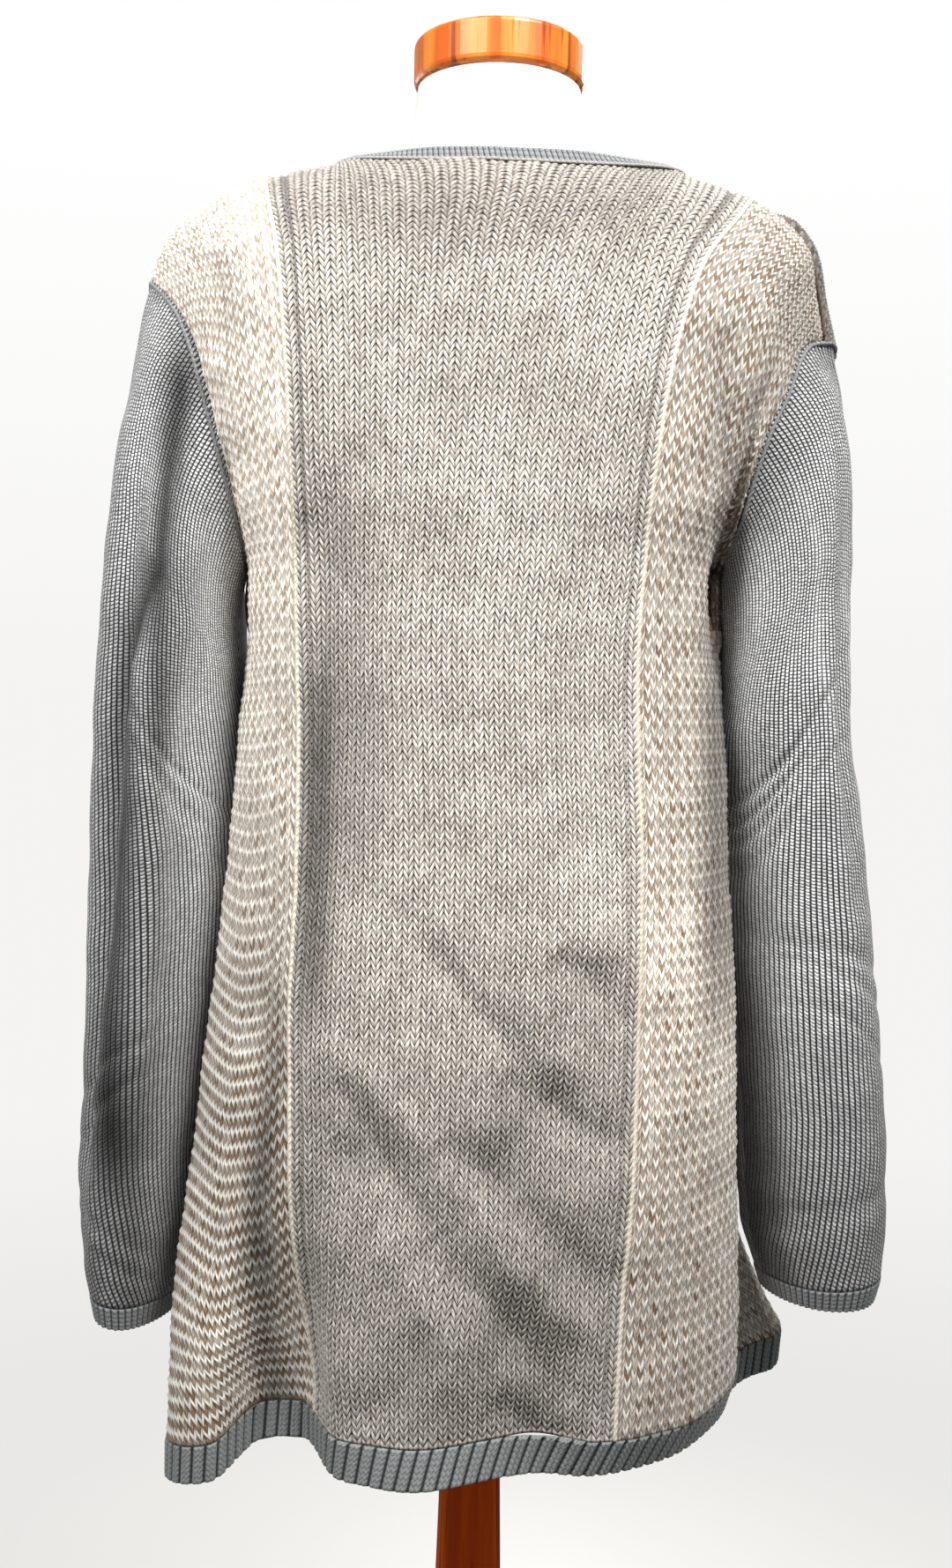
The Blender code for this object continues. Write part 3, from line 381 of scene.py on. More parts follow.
# ---- edges of the body panels
def shoulder(side, u):
    tab = SHOULDER_L if side > 0 else SHOULDER_R
    return np.stack(
        [side * along(tab, "x", u, "u"), along(tab, "y", u, "u"), along(tab, "z", u, "u")], -1
    )


def line_x(side, z, face):
    if face > 0:
        return side * along(LINES, "left" if side > 0 else "right", z)
    return side * along(LINES, "front_l" if side > 0 else "front_r", z)


LINE_TOP_U = {+1: 0.33, -1: 0.345}  # where the raised lines meet the shoulder seam


def line_top(side):
    return shoulder(side, np.array(LINE_TOP_U[side]))


def armhole(side, u, face):
    tab = ARMHOLE_L if side > 0 else ARMHOLE_R
    name = "back" if face > 0 else "front"
    return side * along(tab, name + "_x", u, "u"), along(tab, name + "_z", u, "u")


def neck_side(x, name):
    return np.where(np.asarray(x) >= 0, SHOULDER_L[name][0], SHOULDER_R[name][0])


def neck_edge(x, face):
    """Height of the panels' upper edge between the neck points."""
    u = np.clip(np.abs(x) / neck_side(x, "x"), 0, 1)
    low, power = (NECK_BACK, 3.0) if face > 0 else (NECK_FRONT, 2.2)
    return low + (neck_side(x, "z") - low) * u**power


def ridge(x):
    """Height and depth of the shoulder line, carried on over the neck as a low arch. The cloth
    rolls off this line to both sides, and the neck is cut out of that surface."""
    x = np.asarray(x, float)
    u = np.clip(np.abs(x) / neck_side(x, "x"), 0, 1)
    z = neck_side(x, "z") + NECK_ARCH * (1 - u**1.6)
    share = np.clip(x / 0.2 + 0.5, 0, 1)
    y = SHOULDER_R["y"][0] + (SHOULDER_L["y"][0] - SHOULDER_R["y"][0]) * share
    y = np.where(u < 1, y + (neck_side(x, "y") - y) * u**2, y)
    for side, tab in ((1, SHOULDER_L), (-1, SHOULDER_R)):
        here = (x * side >= 0) & (u >= 1)
        fine = seg(0, 1, 400)
        k = np.interp(np.abs(x), along(tab, "x", fine, "u"), fine)
        z = np.where(here, along(tab, "z", k, "u"), z)
        y = np.where(here, along(tab, "y", k, "u"), y)
    return z, y


def skin_y(x, z, face):
    """Depth of the body's surface with its roll over the shoulder line."""
    rz, ry = ridge(x)
    f = roll(rz - z)
    return (1 - f) * ry + f * ring_y(x, z, face)


def centre_panel(s, t, face):
    """s runs 0 to 1 from the right raised line to the left one, t -1 to 0 from the hem band to
    the underarm's height and 0 to 1 from there to the neck and shoulders."""
    s, t = np.broadcast_arrays(np.asarray(s, float), np.asarray(t, float))
    low = t < 0

    def between(r, l):
        """Angles round the ring, shared evenly between the two lines' angles."""
        return r + (l - r) * s

    def line_angle(side, x, z):
        return np.arcsin(np.clip(x / along(BODY, "left" if side > 0 else "right", z), -1, 1))

    # lower part: straight up from the hem
    z0 = np.full(s.shape, 0.64)
    ang = between(line_angle(-1, line_x(-1, z0, face), z0), line_angle(1, line_x(1, z0, face), z0))
    zb = hem_z(ang, face)
    z_low = zb + (t + 1) * (UNDERARM_Z - zb)
    ang_low = between(
        line_angle(-1, line_x(-1, z_low, face), z_low), line_angle(1, line_x(1, z_low, face), z_low)
    )
    # upper part: towards the edge of the neck and shoulders
    v = np.clip(t, 0, 1)
    one = np.ones(s.shape)
    (rx1, rz1), (lx1, lz1) = line_point(-1, one, face), line_point(1, one, face)
    ang1 = between(line_angle(-1, rx1, rz1), line_angle(1, lx1, lz1))
    z_top = rz1 + (lz1 - rz1) * s
    for _ in range(12):
        x_top = reach(z_top, np.sin(ang1)) * np.sin(ang1)
        z_top = top_edge(x_top, face)
    z_up = UNDERARM_Z + v * (z_top - UNDERARM_Z)
    (rx, rz), (lx, lz) = line_point(-1, v, face), line_point(1, v, face)
    ang_up = between(line_angle(-1, rx, rz), line_angle(1, lx, lz))
    z = np.where(low, z_low, z_up)
    ang = np.where(low, ang_low, ang_up)
    x = reach(z, np.sin(ang)) * np.sin(ang)
    rz, ry = ridge(x_top)
    f = np.where(low, 1.0, roll(rz - z))
    y = (1 - f) * ry + f * ring_y(x, z, face)
    return settle(x, y, z, ang, face)


def line_point(side, v, face):
    """A raised line above the underarm's height, v 0 to 1 up to the shoulder seam: x and z."""
    end = line_top(side)
    z = UNDERARM_Z + v * (end[2] - UNDERARM_Z)
    return line_x(side, z, face) + (end[0] - line_x(side, end[2], face)) * v**6, z


def top_edge(x, face):
    """Height of the upper edge of a centre panel: the neck, then the shoulder seams."""
    x = np.asarray(x, float)
    return np.where(np.abs(x) < neck_side(x, "x"), neck_edge(x, face), ridge(x)[0])


def side_panel(s, t, side, face):
    """s runs 0 to 1 from the raised line to the side seam and armhole, t as in centre_panel."""
    s, t = np.broadcast_arrays(np.asarray(s, float), np.asarray(t, float))
    low = t < 0
    # lower part: part of the ring
    edge_s = 1.0 if side < 0 else 0.0

    def line_angle(z):
        return np.arcsin(np.clip(line_x(side, z, face) / (side * reach(z, side)), -1, 1) * side)

    z0 = np.full(s.shape, 0.64)
    a0 = line_angle(z0)
    ang = a0 + (side * math.pi / 2 - a0) * s
    zb = hem_z(ang, face)
    z_low = zb + (t + 1) * (UNDERARM_Z - zb)
    a0 = line_angle(z_low)
    ang_low = a0 + (side * math.pi / 2 - a0) * s
    x_low = reach(z_low, side) * np.sin(ang_low)
    y_low = ring_y(x_low, z_low, face)
    # upper part: a patch between the raised line, the armhole, the underarm's row and the seam
    v = np.clip(t, 0, 1)
    a0 = line_angle(np.full(s.shape, UNDERARM_Z))
    base_ang = a0 + (side * math.pi / 2 - a0) * s
    bx, bz = reach(UNDERARM_Z, side) * np.sin(base_ang), np.full(s.shape, UNDERARM_Z)
    u0 = LINE_TOP_U[side]
    top = shoulder(side, u0 + (1 - u0) * s)
    tip = shoulder(side, np.array(1.0))
    start = shoulder(side, np.array(u0))
    lx, lz = line_point(side, v, face)
    ex, ez = armhole(side, v, face)
    cx = (
        (1 - s) * lx + s * ex + (1 - v) * bx + v * top[..., 0]
        - ((1 - s) * (1 - v) * line_x(side, np.array(UNDERARM_Z), face)
           + s * (1 - v) * side * reach(UNDERARM_Z, side)
           + (1 - s) * v * start[0] + s * v * tip[0])
    )
    cz = (
        (1 - s) * lz + s * ez + (1 - v) * bz + v * top[..., 2]
        - ((1 - v) * UNDERARM_Z + (1 - s) * v * start[2] + s * v * tip[2])
    )
    f = roll(np.maximum(top[..., 2] - cz, 0))
    ux = np.clip(np.abs(cx) / reach(cz, side), 0, 1)
    cy = (1 - f) * top[..., 1] + f * ring_y(cx, cz, face)
    ang_up = side * np.arcsin(ux)
    x = np.where(low, x_low, cx)
    y = np.where(low, y_low, cy)
    z = np.where(low, z_low, cz)
    # folds may cross the seam of the armhole, but not the underarm
    ang = np.where(low, ang_low, ang_up * (1 - 0.12 * np.clip(v / 0.25, 0, 1)))
    p = settle(x, y, z, ang, face)
    if face > 0:
        p[..., 1] -= valley(s, t, side)
    else:
        w = np.clip(1 - v, 0, 1) ** 0.3
        hold = np.clip(s / 0.35, 0, 1)
        lift = CROWN[side] * np.sin(math.pi * w) * hold * hold * (3 - 2 * hold) * (v > 0)
        lift = lift * (1 - 0.5 * s * s)
        lean = np.sqrt(s) * math.radians(72)
        p[..., 0] += side * lift * np.sin(lean)
        p[..., 2] += lift * np.cos(lean)
    return p


# ------------------------------------------------------------------ the sleeves
def sleeve_loop(side, a):
    """The armhole as a closed loop: a runs 0 to 1 from the underarm up the back, over the top
    and down the front."""
    a = np.asarray(a, float)
    back = side_panel(1.0, np.clip(2 * a, 0, 1), side, 1)
    front = side_panel(1.0, np.clip(2 - 2 * a, 0, 1), side, -1)
    return np.where((a <= 0.5)[..., None], back, front)


def sleeve(side, a, v, drop=0.0):
    """A point of a sleeve's outer surface. drop runs 0 to 1 down the cuff, past v = 1."""
    a, v, drop = np.broadcast_arrays(
        np.asarray(a, float), np.asarray(v, float), np.asarray(drop, float)
    )
    tab = SLEEVE_L if side > 0 else SLEEVE_R
    col = lambda name: along(tab, name, v, "v")
    cuff = CUFFS[side]
    ang = math.pi * (1 - 2 * a)  # pi at the inner edge, pi/2 at the back, 0 at the outer edge
    c, s = np.cos(ang), np.sin(ang)
    p = 2 / 2.25
    c, s = np.sign(c) * np.abs(c) ** p, np.sign(s) * np.abs(s) ** p
    pull = cuff["draw"] * drop
    out_x, in_x = col("out_x") - pull, col("in_x") + pull
    out_z, in_z = col("out_z") - cuff["drop_out"] * drop, col("in_z") - cuff["drop_in"] * drop
    back, front = col("back") - pull, col("front") + pull
    x = (out_x + in_x) / 2 + c * (out_x - in_x) / 2
    z = (out_z + in_z) / 2 + c * (out_z - in_z) / 2
    y = (back + front) / 2 + s * (back - front) / 2
    # the inner side leans in behind the body's edge
    low = np.clip((v - 0.17) / 0.24, 0, 1)
    x = x + SLEEVE_LEAN * low * low * (3 - 2 * low) * (1 - c) / 2 * s * (back - front) / 2
    # long folds
    shift = np.zeros_like(x)
    deg = np.degrees(ang)
    for i in range(len(SLEEVE_FOLDS["side"])):
        if SLEEVE_FOLDS["side"][i] != side:
            continue
        lo, hi = SLEEVE_FOLDS["v0"][i], SLEEVE_FOLDS["v1"][i]
        k = np.clip((v - lo) / (hi - lo), 0, 1)
        mid = SLEEVE_FOLDS["angle0"][i] * (1 - k) + SLEEVE_FOLDS["angle1"][i] * k
        away = (deg - mid + 180) % 360 - 180
        shift += (
            SLEEVE_FOLDS["depth"][i]
            * np.sin(k * math.pi) ** 0.7
            * np.exp(-((away / SLEEVE_FOLDS["width"][i]) ** 2))
        )
    nx, ny = c / (out_x - in_x), s / (back - front)
    n = np.sqrt(nx**2 + ny**2)
    x = x + shift * nx / n
    y = y + shift * ny / n
    free = np.stack([side * x, y, z], -1)
    hold = (np.clip(1 - v / 0.18, 0, 1) ** 2)[..., None]
    return sleeve_loop(side, a) * hold + free * (1 - hold)


# ---------------------------------------------------------------- band surfaces
def centre_columns():
    """Columns of a centre panel's wall, with one on each neck point."""
    one = np.array(1.0)
    (rx, rz), (lx, lz) = line_point(-1, one, 1), line_point(1, one, 1)
    r = math.asin(rx / float(along(BODY, "right", rz)))
    l = math.asin(lx / float(along(BODY, "left", lz)))
    ends = []
    for tab, side, name in ((SHOULDER_R, -1, "right"), (SHOULDER_L, 1, "left")):
        a = math.asin(side * tab["x"][0] / float(along(BODY, name, tab["z"][0])))
        ends.append((a - r) / (l - r))
    a, b = ends
    mid = a + (b - a) * (1 - np.cos(seg(0, math.pi, CENTRE_COLS - 4))) / 2
    mid[0], mid[-1] = a, b
    return np.concatenate([[0, a / 2], mid, [(1 + b) / 2, 1]])


def hem_point(part, s, t, face):
    """Three stretches of band: part -1 and 1 under the side panels, 0 under the centre panel,
    s as in those panels and t 0 to 1 up the band."""
    s, t = np.broadcast_arrays(np.asarray(s, float), np.asarray(t, float))
    top = centre_panel(s, -1.0, face) if part == 0 else side_panel(s, -1.0, part, face)
    x, y = top[..., 0], top[..., 1]
    ang = np.arctan2(x / reach(0.64, x), face * y / 0.12)
    tab = HEM_BACK if face > 0 else HEM_FRONT
    tuck = np.radians(along(tab, "tuck", np.clip(np.degrees(ang), -90, 90), "angle"))
    drop = (1 - t) * HEM_BAND
    up = top - outward(x, y, top[..., 2]) * (drop * np.sin(tuck))[..., None]
    up[..., 2] -= drop * np.cos(tuck)
    return up


def neck_loop(over):
    """The neck edge's points from the right neck point over the back to the left one and back
    along the front, and the points a little below them."""
    return [
        np.concatenate([centre_panel(over, t, 1), centre_panel(over[::-1], t, -1)[1:-1]])
        for t in (1.0, 0.97)
    ]


def neck_point(base, below, t):
    """The neckband over a closed loop of the neck edge's points, t 0 to 1 up the band. It stands
    square to the edge, leaning in towards the neck, most of all at the sides, and carries on the
    slope of the cloth below it in front."""
    x, y, z = base[..., 0], base[..., 1], base[..., 2]
    r = np.maximum(np.hypot(x, y), 1e-6)
    q = np.where(x >= 0, x / SHOULDER_L["x"][0], -x / SHOULDER_R["x"][0])
    side_on = np.clip((q - 0.3) / 0.7, 0, 1)
    side_on = side_on * side_on * (3 - 2 * side_on)
    lean = NECK_LEAN + NECK_SIDE_LEAN * side_on
    way = np.stack([-x / r * lean, -y / r * lean, 1 - 0.5 * side_on], -1)
    edge = np.roll(base, -1, 0) - np.roll(base, 1, 0)
    edge /= np.linalg.norm(edge, axis=-1, keepdims=True)
    way = way - edge * (way * edge).sum(-1, keepdims=True)
    on = base - below
    on = on - edge * (on * edge).sum(-1, keepdims=True)
    on /= np.linalg.norm(on, axis=-1, keepdims=True)
    way /= np.linalg.norm(way, axis=-1, keepdims=True)
    front = np.clip(-y / 0.02, 0, 1)[..., None]
    way = way * (1 - 0.6 * front) + on * 0.6 * front
    size = 1 - 0.35 * side_on
    return base + way / np.linalg.norm(way, axis=-1, keepdims=True) * (
        NECK_BAND * size * t
    )[..., None]


# ============================================================ looks of the cloth
# Everything below works on the surface above. A piece of cloth is a Patch, an even net of that
# surface; its knit is moved out of it and in, and a coarse inner layer closes the shell.
STITCH_BODY = (0.0059, 0.0045)    # wale and course of the centre panels
STITCH_SIDE = (0.0042, 0.0047)    # of the two-colour side panels
STITCH_SLEEVE = (0.0037, 0.0026)  # of the sleeves
RIB_HEM, RIB_CUFF, RIB_NECK = 0.0084, 0.0046, 0.0034  # width of one rib and its furrow
CENTRE_WALES = 32                 # between the two furrows of a centre panel

# Soft uneven swellings of the cloth, as the size of their waves and their height.
SWELL = ((0.110, 0.0011), (0.045, 0.0005))

# Ripples across a sleeve at the elbow and above the cuff: side, place along the sleeve, angle
# round it, reach in degrees, spacing along it, how many, height and slope.
RIPPLES = table("""
side  v      angle  spread  step   count  height   slope
-1    0.365  120    60      0.026  4     -0.0030   0.05
-1    0.640   60    60      0.034  3     -0.0018  -0.04
-1    0.900  100    80      0.022  2     -0.0018   0.02
-1    0.360  -80    60      0.028  4     -0.0032   0.04
 1    0.400  130    55      0.030  3     -0.0018   0.05
 1    0.720   70    60      0.036  3     -0.0015  -0.05
 1    0.900   90    80      0.022  2     -0.0016   0.03
 1    0.380  -90    60      0.028  4     -0.0032   0.04
""")

# Pressed ridges down the sleeves, raised a little, with smoother stitches and a painted highlight: side, angle round it
# at both ends, stretch, width and strength.
RIDGES_AND_HIGHLIGHTS = table("""
side  angle0  angle1  v0    v1    width  share
 1    128     112     0.08  0.80  5.5    0.8
-1     84      70     0.04  0.55  4.5    0.9
-1     36      30     0.10  0.62  7.0    1.0
-1     10      14     0.16  0.60  6.0    0.9
""")


# Small creases of the back beside the main folds: a soft trough (depth below 0) or ridge along a
# line from one point to another.
# Their troughs are also given painted shade on the panels.
CREASES = table("""
face  x0      z0     x1      z1     width  depth
 1     0.051  0.957  -0.051  0.841  0.009  -0.0026
 1    -0.043  0.930  -0.087  0.886  0.012  -0.0040
 1    -0.014  0.858  -0.088  0.814  0.011  -0.0044
 1     0.024  0.820  -0.080  0.727  0.013  -0.0048
 1     0.083  0.853   0.020  0.758  0.010  -0.0032
 1     0.028  0.762  -0.056  0.660  0.014  -0.0058
 1    -0.012  0.668  -0.066  0.634  0.012  -0.0042
 1     0.025  0.712   0.063  0.647  0.011  -0.0034
 1     0.058  0.768   0.084  0.706  0.009  -0.0024
 1     0.094  0.876   0.000  0.778  0.009   0.0022
 1     0.000  0.778  -0.080  0.692  0.010   0.0030
 1     0.060  0.765   0.019  0.690  0.010   0.0022
 1     0.085  0.818   0.058  0.789  0.010  -0.0022
 1     0.176  1.345   0.166  1.275  0.010  -0.0034
 1    -0.110  0.900  -0.140  0.760  0.011  -0.0036
 1     0.130  0.960   0.150  0.860  0.012  -0.0034
 1     0.094  1.210   0.101  0.930  0.009  -0.0050
 1    -0.136  1.300  -0.138  1.090  0.007  -0.0050
-1     0.050  0.860   0.004  0.800  0.012  -0.0040
-1     0.040  0.780  -0.036  0.700  0.012   0.0034
-1    -0.030  0.740  -0.086  0.680  0.012  -0.0040
-1     0.150  0.900   0.128  0.780  0.012  -0.0036
-1    -0.060  1.330  -0.130  1.300  0.012  -0.0030
-1     0.066  1.335   0.136  1.300  0.012  -0.0030
""")


def smooth(x):
    x = np.clip(x, 0, 1)
    return x * x * (3 - 2 * x)


def chance(*keys, seed=0):
    """A repeatable number from 0 to 1 for each set of whole numbers."""
    h = np.full(np.broadcast(*keys).shape, 97 + 7919 * seed, np.uint64)
    for k in keys:
        h = (h ^ (np.asarray(k).astype(np.int64) + 4096).astype(np.uint64)) * np.uint64(0x9E3779B97F4A7C15)
        h = h ^ (h >> np.uint64(29))
    h = h * np.uint64(0xBF58476D1CE4E5B9)
    h = h ^ (h >> np.uint64(32))
    return (h & np.uint64(0xFFFFFF)).astype(float) / 0xFFFFFF


def swell(p, size, seed):
    """Smooth unevenness from -1 to 1 or so, with waves about size long."""
    rng = np.random.RandomState(seed)
    total = np.zeros(p.shape[:-1])
    for _ in range(7):
        k = rng.normal(size=3)
        k *= 2 * math.pi / size / np.linalg.norm(k) * rng.uniform(0.7, 1.4)
        total += np.sin(p @ k + rng.uniform(0, 2 * math.pi))
    return total / 7**0.5


class Patch:
    """A piece of the garment's surface on an even net, v 0 to 1 up it and q 0 to 1 across it,
    both by length along the cloth."""

    def __init__(self, points, closed=False, out=None, shift=None):
        self.closed = closed
        rows, cols = points.shape[:2]
        step = np.linalg.norm(np.diff(points, axis=1), axis=-1)
        far = np.concatenate([np.zeros((rows, 1)), np.cumsum(step, 1)], 1)
        self.width = far[:, -1]
        even = np.linspace(0, 1, cols)
        p = np.empty_like(points)
        for i in range(rows):
            for k in range(3):
                p[i, :, k] = np.interp(even * far[i, -1], far[i], points[i, :, k])
        if closed:
            p[:, -1] = p[:, 0]
        self.p = p
        self.flip = False
        self.normals()
        if out is not None and (self.n * out(p)).sum() < 0:
            self.flip = True
            self.n = -self.n
        if shift is not None:
            self.p = self.p + self.n * shift(self)[..., None]
            if closed:
                self.p[:, -1] = self.p[:, 0]
            self.normals()
            if self.flip:
                self.n = -self.n
        self.height = np.linalg.norm(np.diff(self.p, axis=0), axis=-1).sum(0)

    def normals(self):
        if self.closed:
            ring = np.concatenate([self.p[:, -2:-1], self.p, self.p[:, 1:2]], 1)
            dq = ring[:, 2:] - ring[:, :-2]
        else:
            dq = np.gradient(self.p, axis=1)
        n = np.cross(dq, np.gradient(self.p, axis=0))
        self.n = n / np.maximum(np.linalg.norm(n, axis=-1, keepdims=True), 1e-12)

    def read(self, grid, q, v):
        rows, cols = grid.shape[:2]
        y, x = np.clip(v, 0, 1) * (rows - 1), np.clip(q, 0, 1) * (cols - 1)
        i, j = np.minimum(y.astype(int), rows - 2), np.minimum(x.astype(int), cols - 2)
        fy, fx = (y - i)[..., None], (x - j)[..., None]
        return (
            grid[i, j] * (1 - fy) * (1 - fx) + grid[i, j + 1] * (1 - fy) * fx
            + grid[i + 1, j] * fy * (1 - fx) + grid[i + 1, j + 1] * fy * fx
        )

    def at(self, q, v):
        q, v = np.broadcast_arrays(q, v)
        n = self.read(self.n, q, v)
        return self.read(self.p, q, v), n / np.linalg.norm(n, axis=-1, keepdims=True)

    def wide(self, v):
        return np.interp(v, np.linspace(0, 1, len(self.width)), self.width)

    def area(self):
        a, b = np.diff(self.p, axis=1)[:-1], np.diff(self.p, axis=0)[:, :-1]
        return float(np.linalg.norm(np.cross(a, b), axis=-1).sum())


def even_rows(surf, spine, t0, t1, count):
    """The t of each row, so that rows are evenly spaced along one column of the surface."""
    t = np.linspace(t0, t1, 900)
    line = surf(np.full(t.shape, spine), t)
    far = np.concatenate([[0], np.cumsum(np.linalg.norm(np.diff(line, axis=0), axis=-1))])
    return np.interp(np.linspace(0, far[-1], count), far, t), float(far[-1])


def body_out(p):
    return np.stack([p[..., 0], p[..., 1], np.zeros(p.shape[:-1])], -1)


def body_shift(patch):
    return sum(h * swell(patch.p, size, 11 + i) for i, (size, h) in enumerate(SWELL))


def crease_marks(p, face, spread=1.0):
    """Each crease of one face as its depth over the points p."""
    x, z = p[..., 0], p[..., 2]
    for i in range(len(CREASES["face"])):
        if CREASES["face"][i] != face:
            continue
        dx, dz = CREASES["x1"][i] - CREASES["x0"][i], CREASES["z1"][i] - CREASES["z0"][i]
        size = math.hypot(dx, dz)
        t = ((x - CREASES["x0"][i]) * dx + (z - CREASES["z0"][i]) * dz) / size**2
        off = ((x - CREASES["x0"][i]) * dz - (z - CREASES["z0"][i]) * dx) / size
        bow = 0.004 * np.sin(np.clip(t, 0, 1) * math.pi) * (1 if i % 2 else -1)
        yield CREASES["depth"][i] * np.sin(np.clip(t, 0, 1) * math.pi) ** 0.5 * np.exp(
            -(((off - bow) / (spread * CREASES["width"][i])) ** 2)
        )


def creased(face):
    """The unevenness of a body panel with its small creases."""
    return lambda patch: body_shift(patch) + sum(crease_marks(patch.p, face))


def hump(x, mid, wide):
    return np.exp(-(((x - mid) / wide) ** 2))


def body_painted_shade_and_tone(face, kind, side):
    """Painted shade and highlight of a panel from place to place, with a little random tone:
    darker towards the hem, in the creases and beside the raised lines, at the top and at the
    right edge beside the sleeve, lighter in a few bands. p is the point, d its distance from
    the panel's first edge."""
    def painted_shade_and_tone(p, d):
        x, z = p[..., 0], p[..., 2]
        # painted shade: darker towards the hem and in the trough of each crease
        total = 1 - 0.24 * smooth((0.94 - z) / 0.13)
        for mark in crease_marks(p, face, 2.2):
            total = total * (1 + np.minimum(mark, 0) * 42)
        if kind == "centre":
            # painted shade: darker at the top and over the upper back
            total = total * (1 - 0.34 * smooth((z - 1.325) / 0.040)) * (0.93 - 0.12 * smooth((z - 1.12) / 0.2))
            if face > 0:
                # painted shade in the soft trough beside the left raised line
                total = total * (1 - 0.58 * hump(x, 0.101, 0.012) * smooth((z - 0.86) / 0.06) * smooth((1.13 - z) / 0.08))
                total = total * (1 - 0.30 * hump(x, 0.078, 0.030) * hump(z, 1.03, 0.055))
        elif side > 0:
            # painted highlight in a band at 1.20 m on the left panels
            total = total * (1 + 0.28 * hump(z, 1.20, 0.075))
            valley = np.interp(z, (0.64, 0.70, 0.76, 0.86), (0.037, 0.027, 0.024, 0.010))
            if face > 0:
                # painted shade in the recess beside the left raised line, towards the hem
                total = total * (1 - 0.62 * hump(d, valley, 0.012) * smooth((0.97 - z) / 0.16))
        else:
            # painted shade at the top of the right panels and in a band at 1.12 m, painted highlight in a band near
            # 0.87 m
            total = total * (1 - 0.40 * smooth((z - 1.20) / 0.10)) * (1 - 0.20 * hump(z, 1.12, 0.07))
            total = total * (1 + 0.55 * hump(z, 0.870, 0.085))
            if face > 0:
                # painted shade at the right edge, between the body and the sleeve
                edge = smooth((-0.122 - x) / 0.022) * smooth((z - 0.80) / 0.14) * smooth((1.20 - z) / 0.12)
                total = total * (1 - 0.66 * edge)
        # painted shade: the side panels are darker over the shoulders than below them
        if kind == "side":
            total = total * (1 + 0.13 * smooth((1.28 - z) / 0.10))
        return total * (1 + 0.04 * swell(p, 0.09, 41))
    return painted_shade_and_tone


def mesh_from(name, verts, tris, uv, layers, material):
    """A smooth mesh. uv and layers are given for each vertex, before any are joined."""
    used, index = np.unique(tris, return_inverse=True)
    mesh = bpy.data.meshes.new(name)
    loops = index.reshape(-1)
    mesh.vertices.add(len(used))
    mesh.vertices.foreach_set("co", verts[used].astype(np.float32).ravel())
    mesh.loops.add(len(loops))
    mesh.loops.foreach_set("vertex_index", loops.astype(np.int32))
    mesh.polygons.add(len(tris))
    mesh.polygons.foreach_set("loop_start", (np.arange(len(tris)) * 3).astype(np.int32))
    mesh.polygons.foreach_set("use_smooth", np.ones(len(tris), bool))
    mesh.update(calc_edges=True)
    layer = mesh.uv_layers.new(name="Knit")
    layer.data.foreach_set("uv", uv.astype(np.float32).ravel())
    for key_, values in layers.items():
        mesh.attributes.new(key_, "FLOAT", "POINT").data.foreach_set(
            "value", values[used].astype(np.float32)
        )
    mesh.materials.append(material)
    mesh.validate()
    obj = bpy.data.objects.new(name, mesh)
    bpy.context.scene.collection.objects.link(obj)
    return obj


def zip_strip(a, at_a, b, at_b):
    """Triangles between two rows of vertices, by their places along the edge."""
    i = j = 0
    out = []
    while i < len(a) - 1 or j < len(b) - 1:
        if j == len(b) - 1 or (i < len(a) - 1 and at_a[i + 1] <= at_b[j + 1]):
            out.append((a[i + 1], a[i], b[j]))
            i += 1
        else:
            out.append((a[i], b[j], b[j + 1]))
            j += 1
    return out


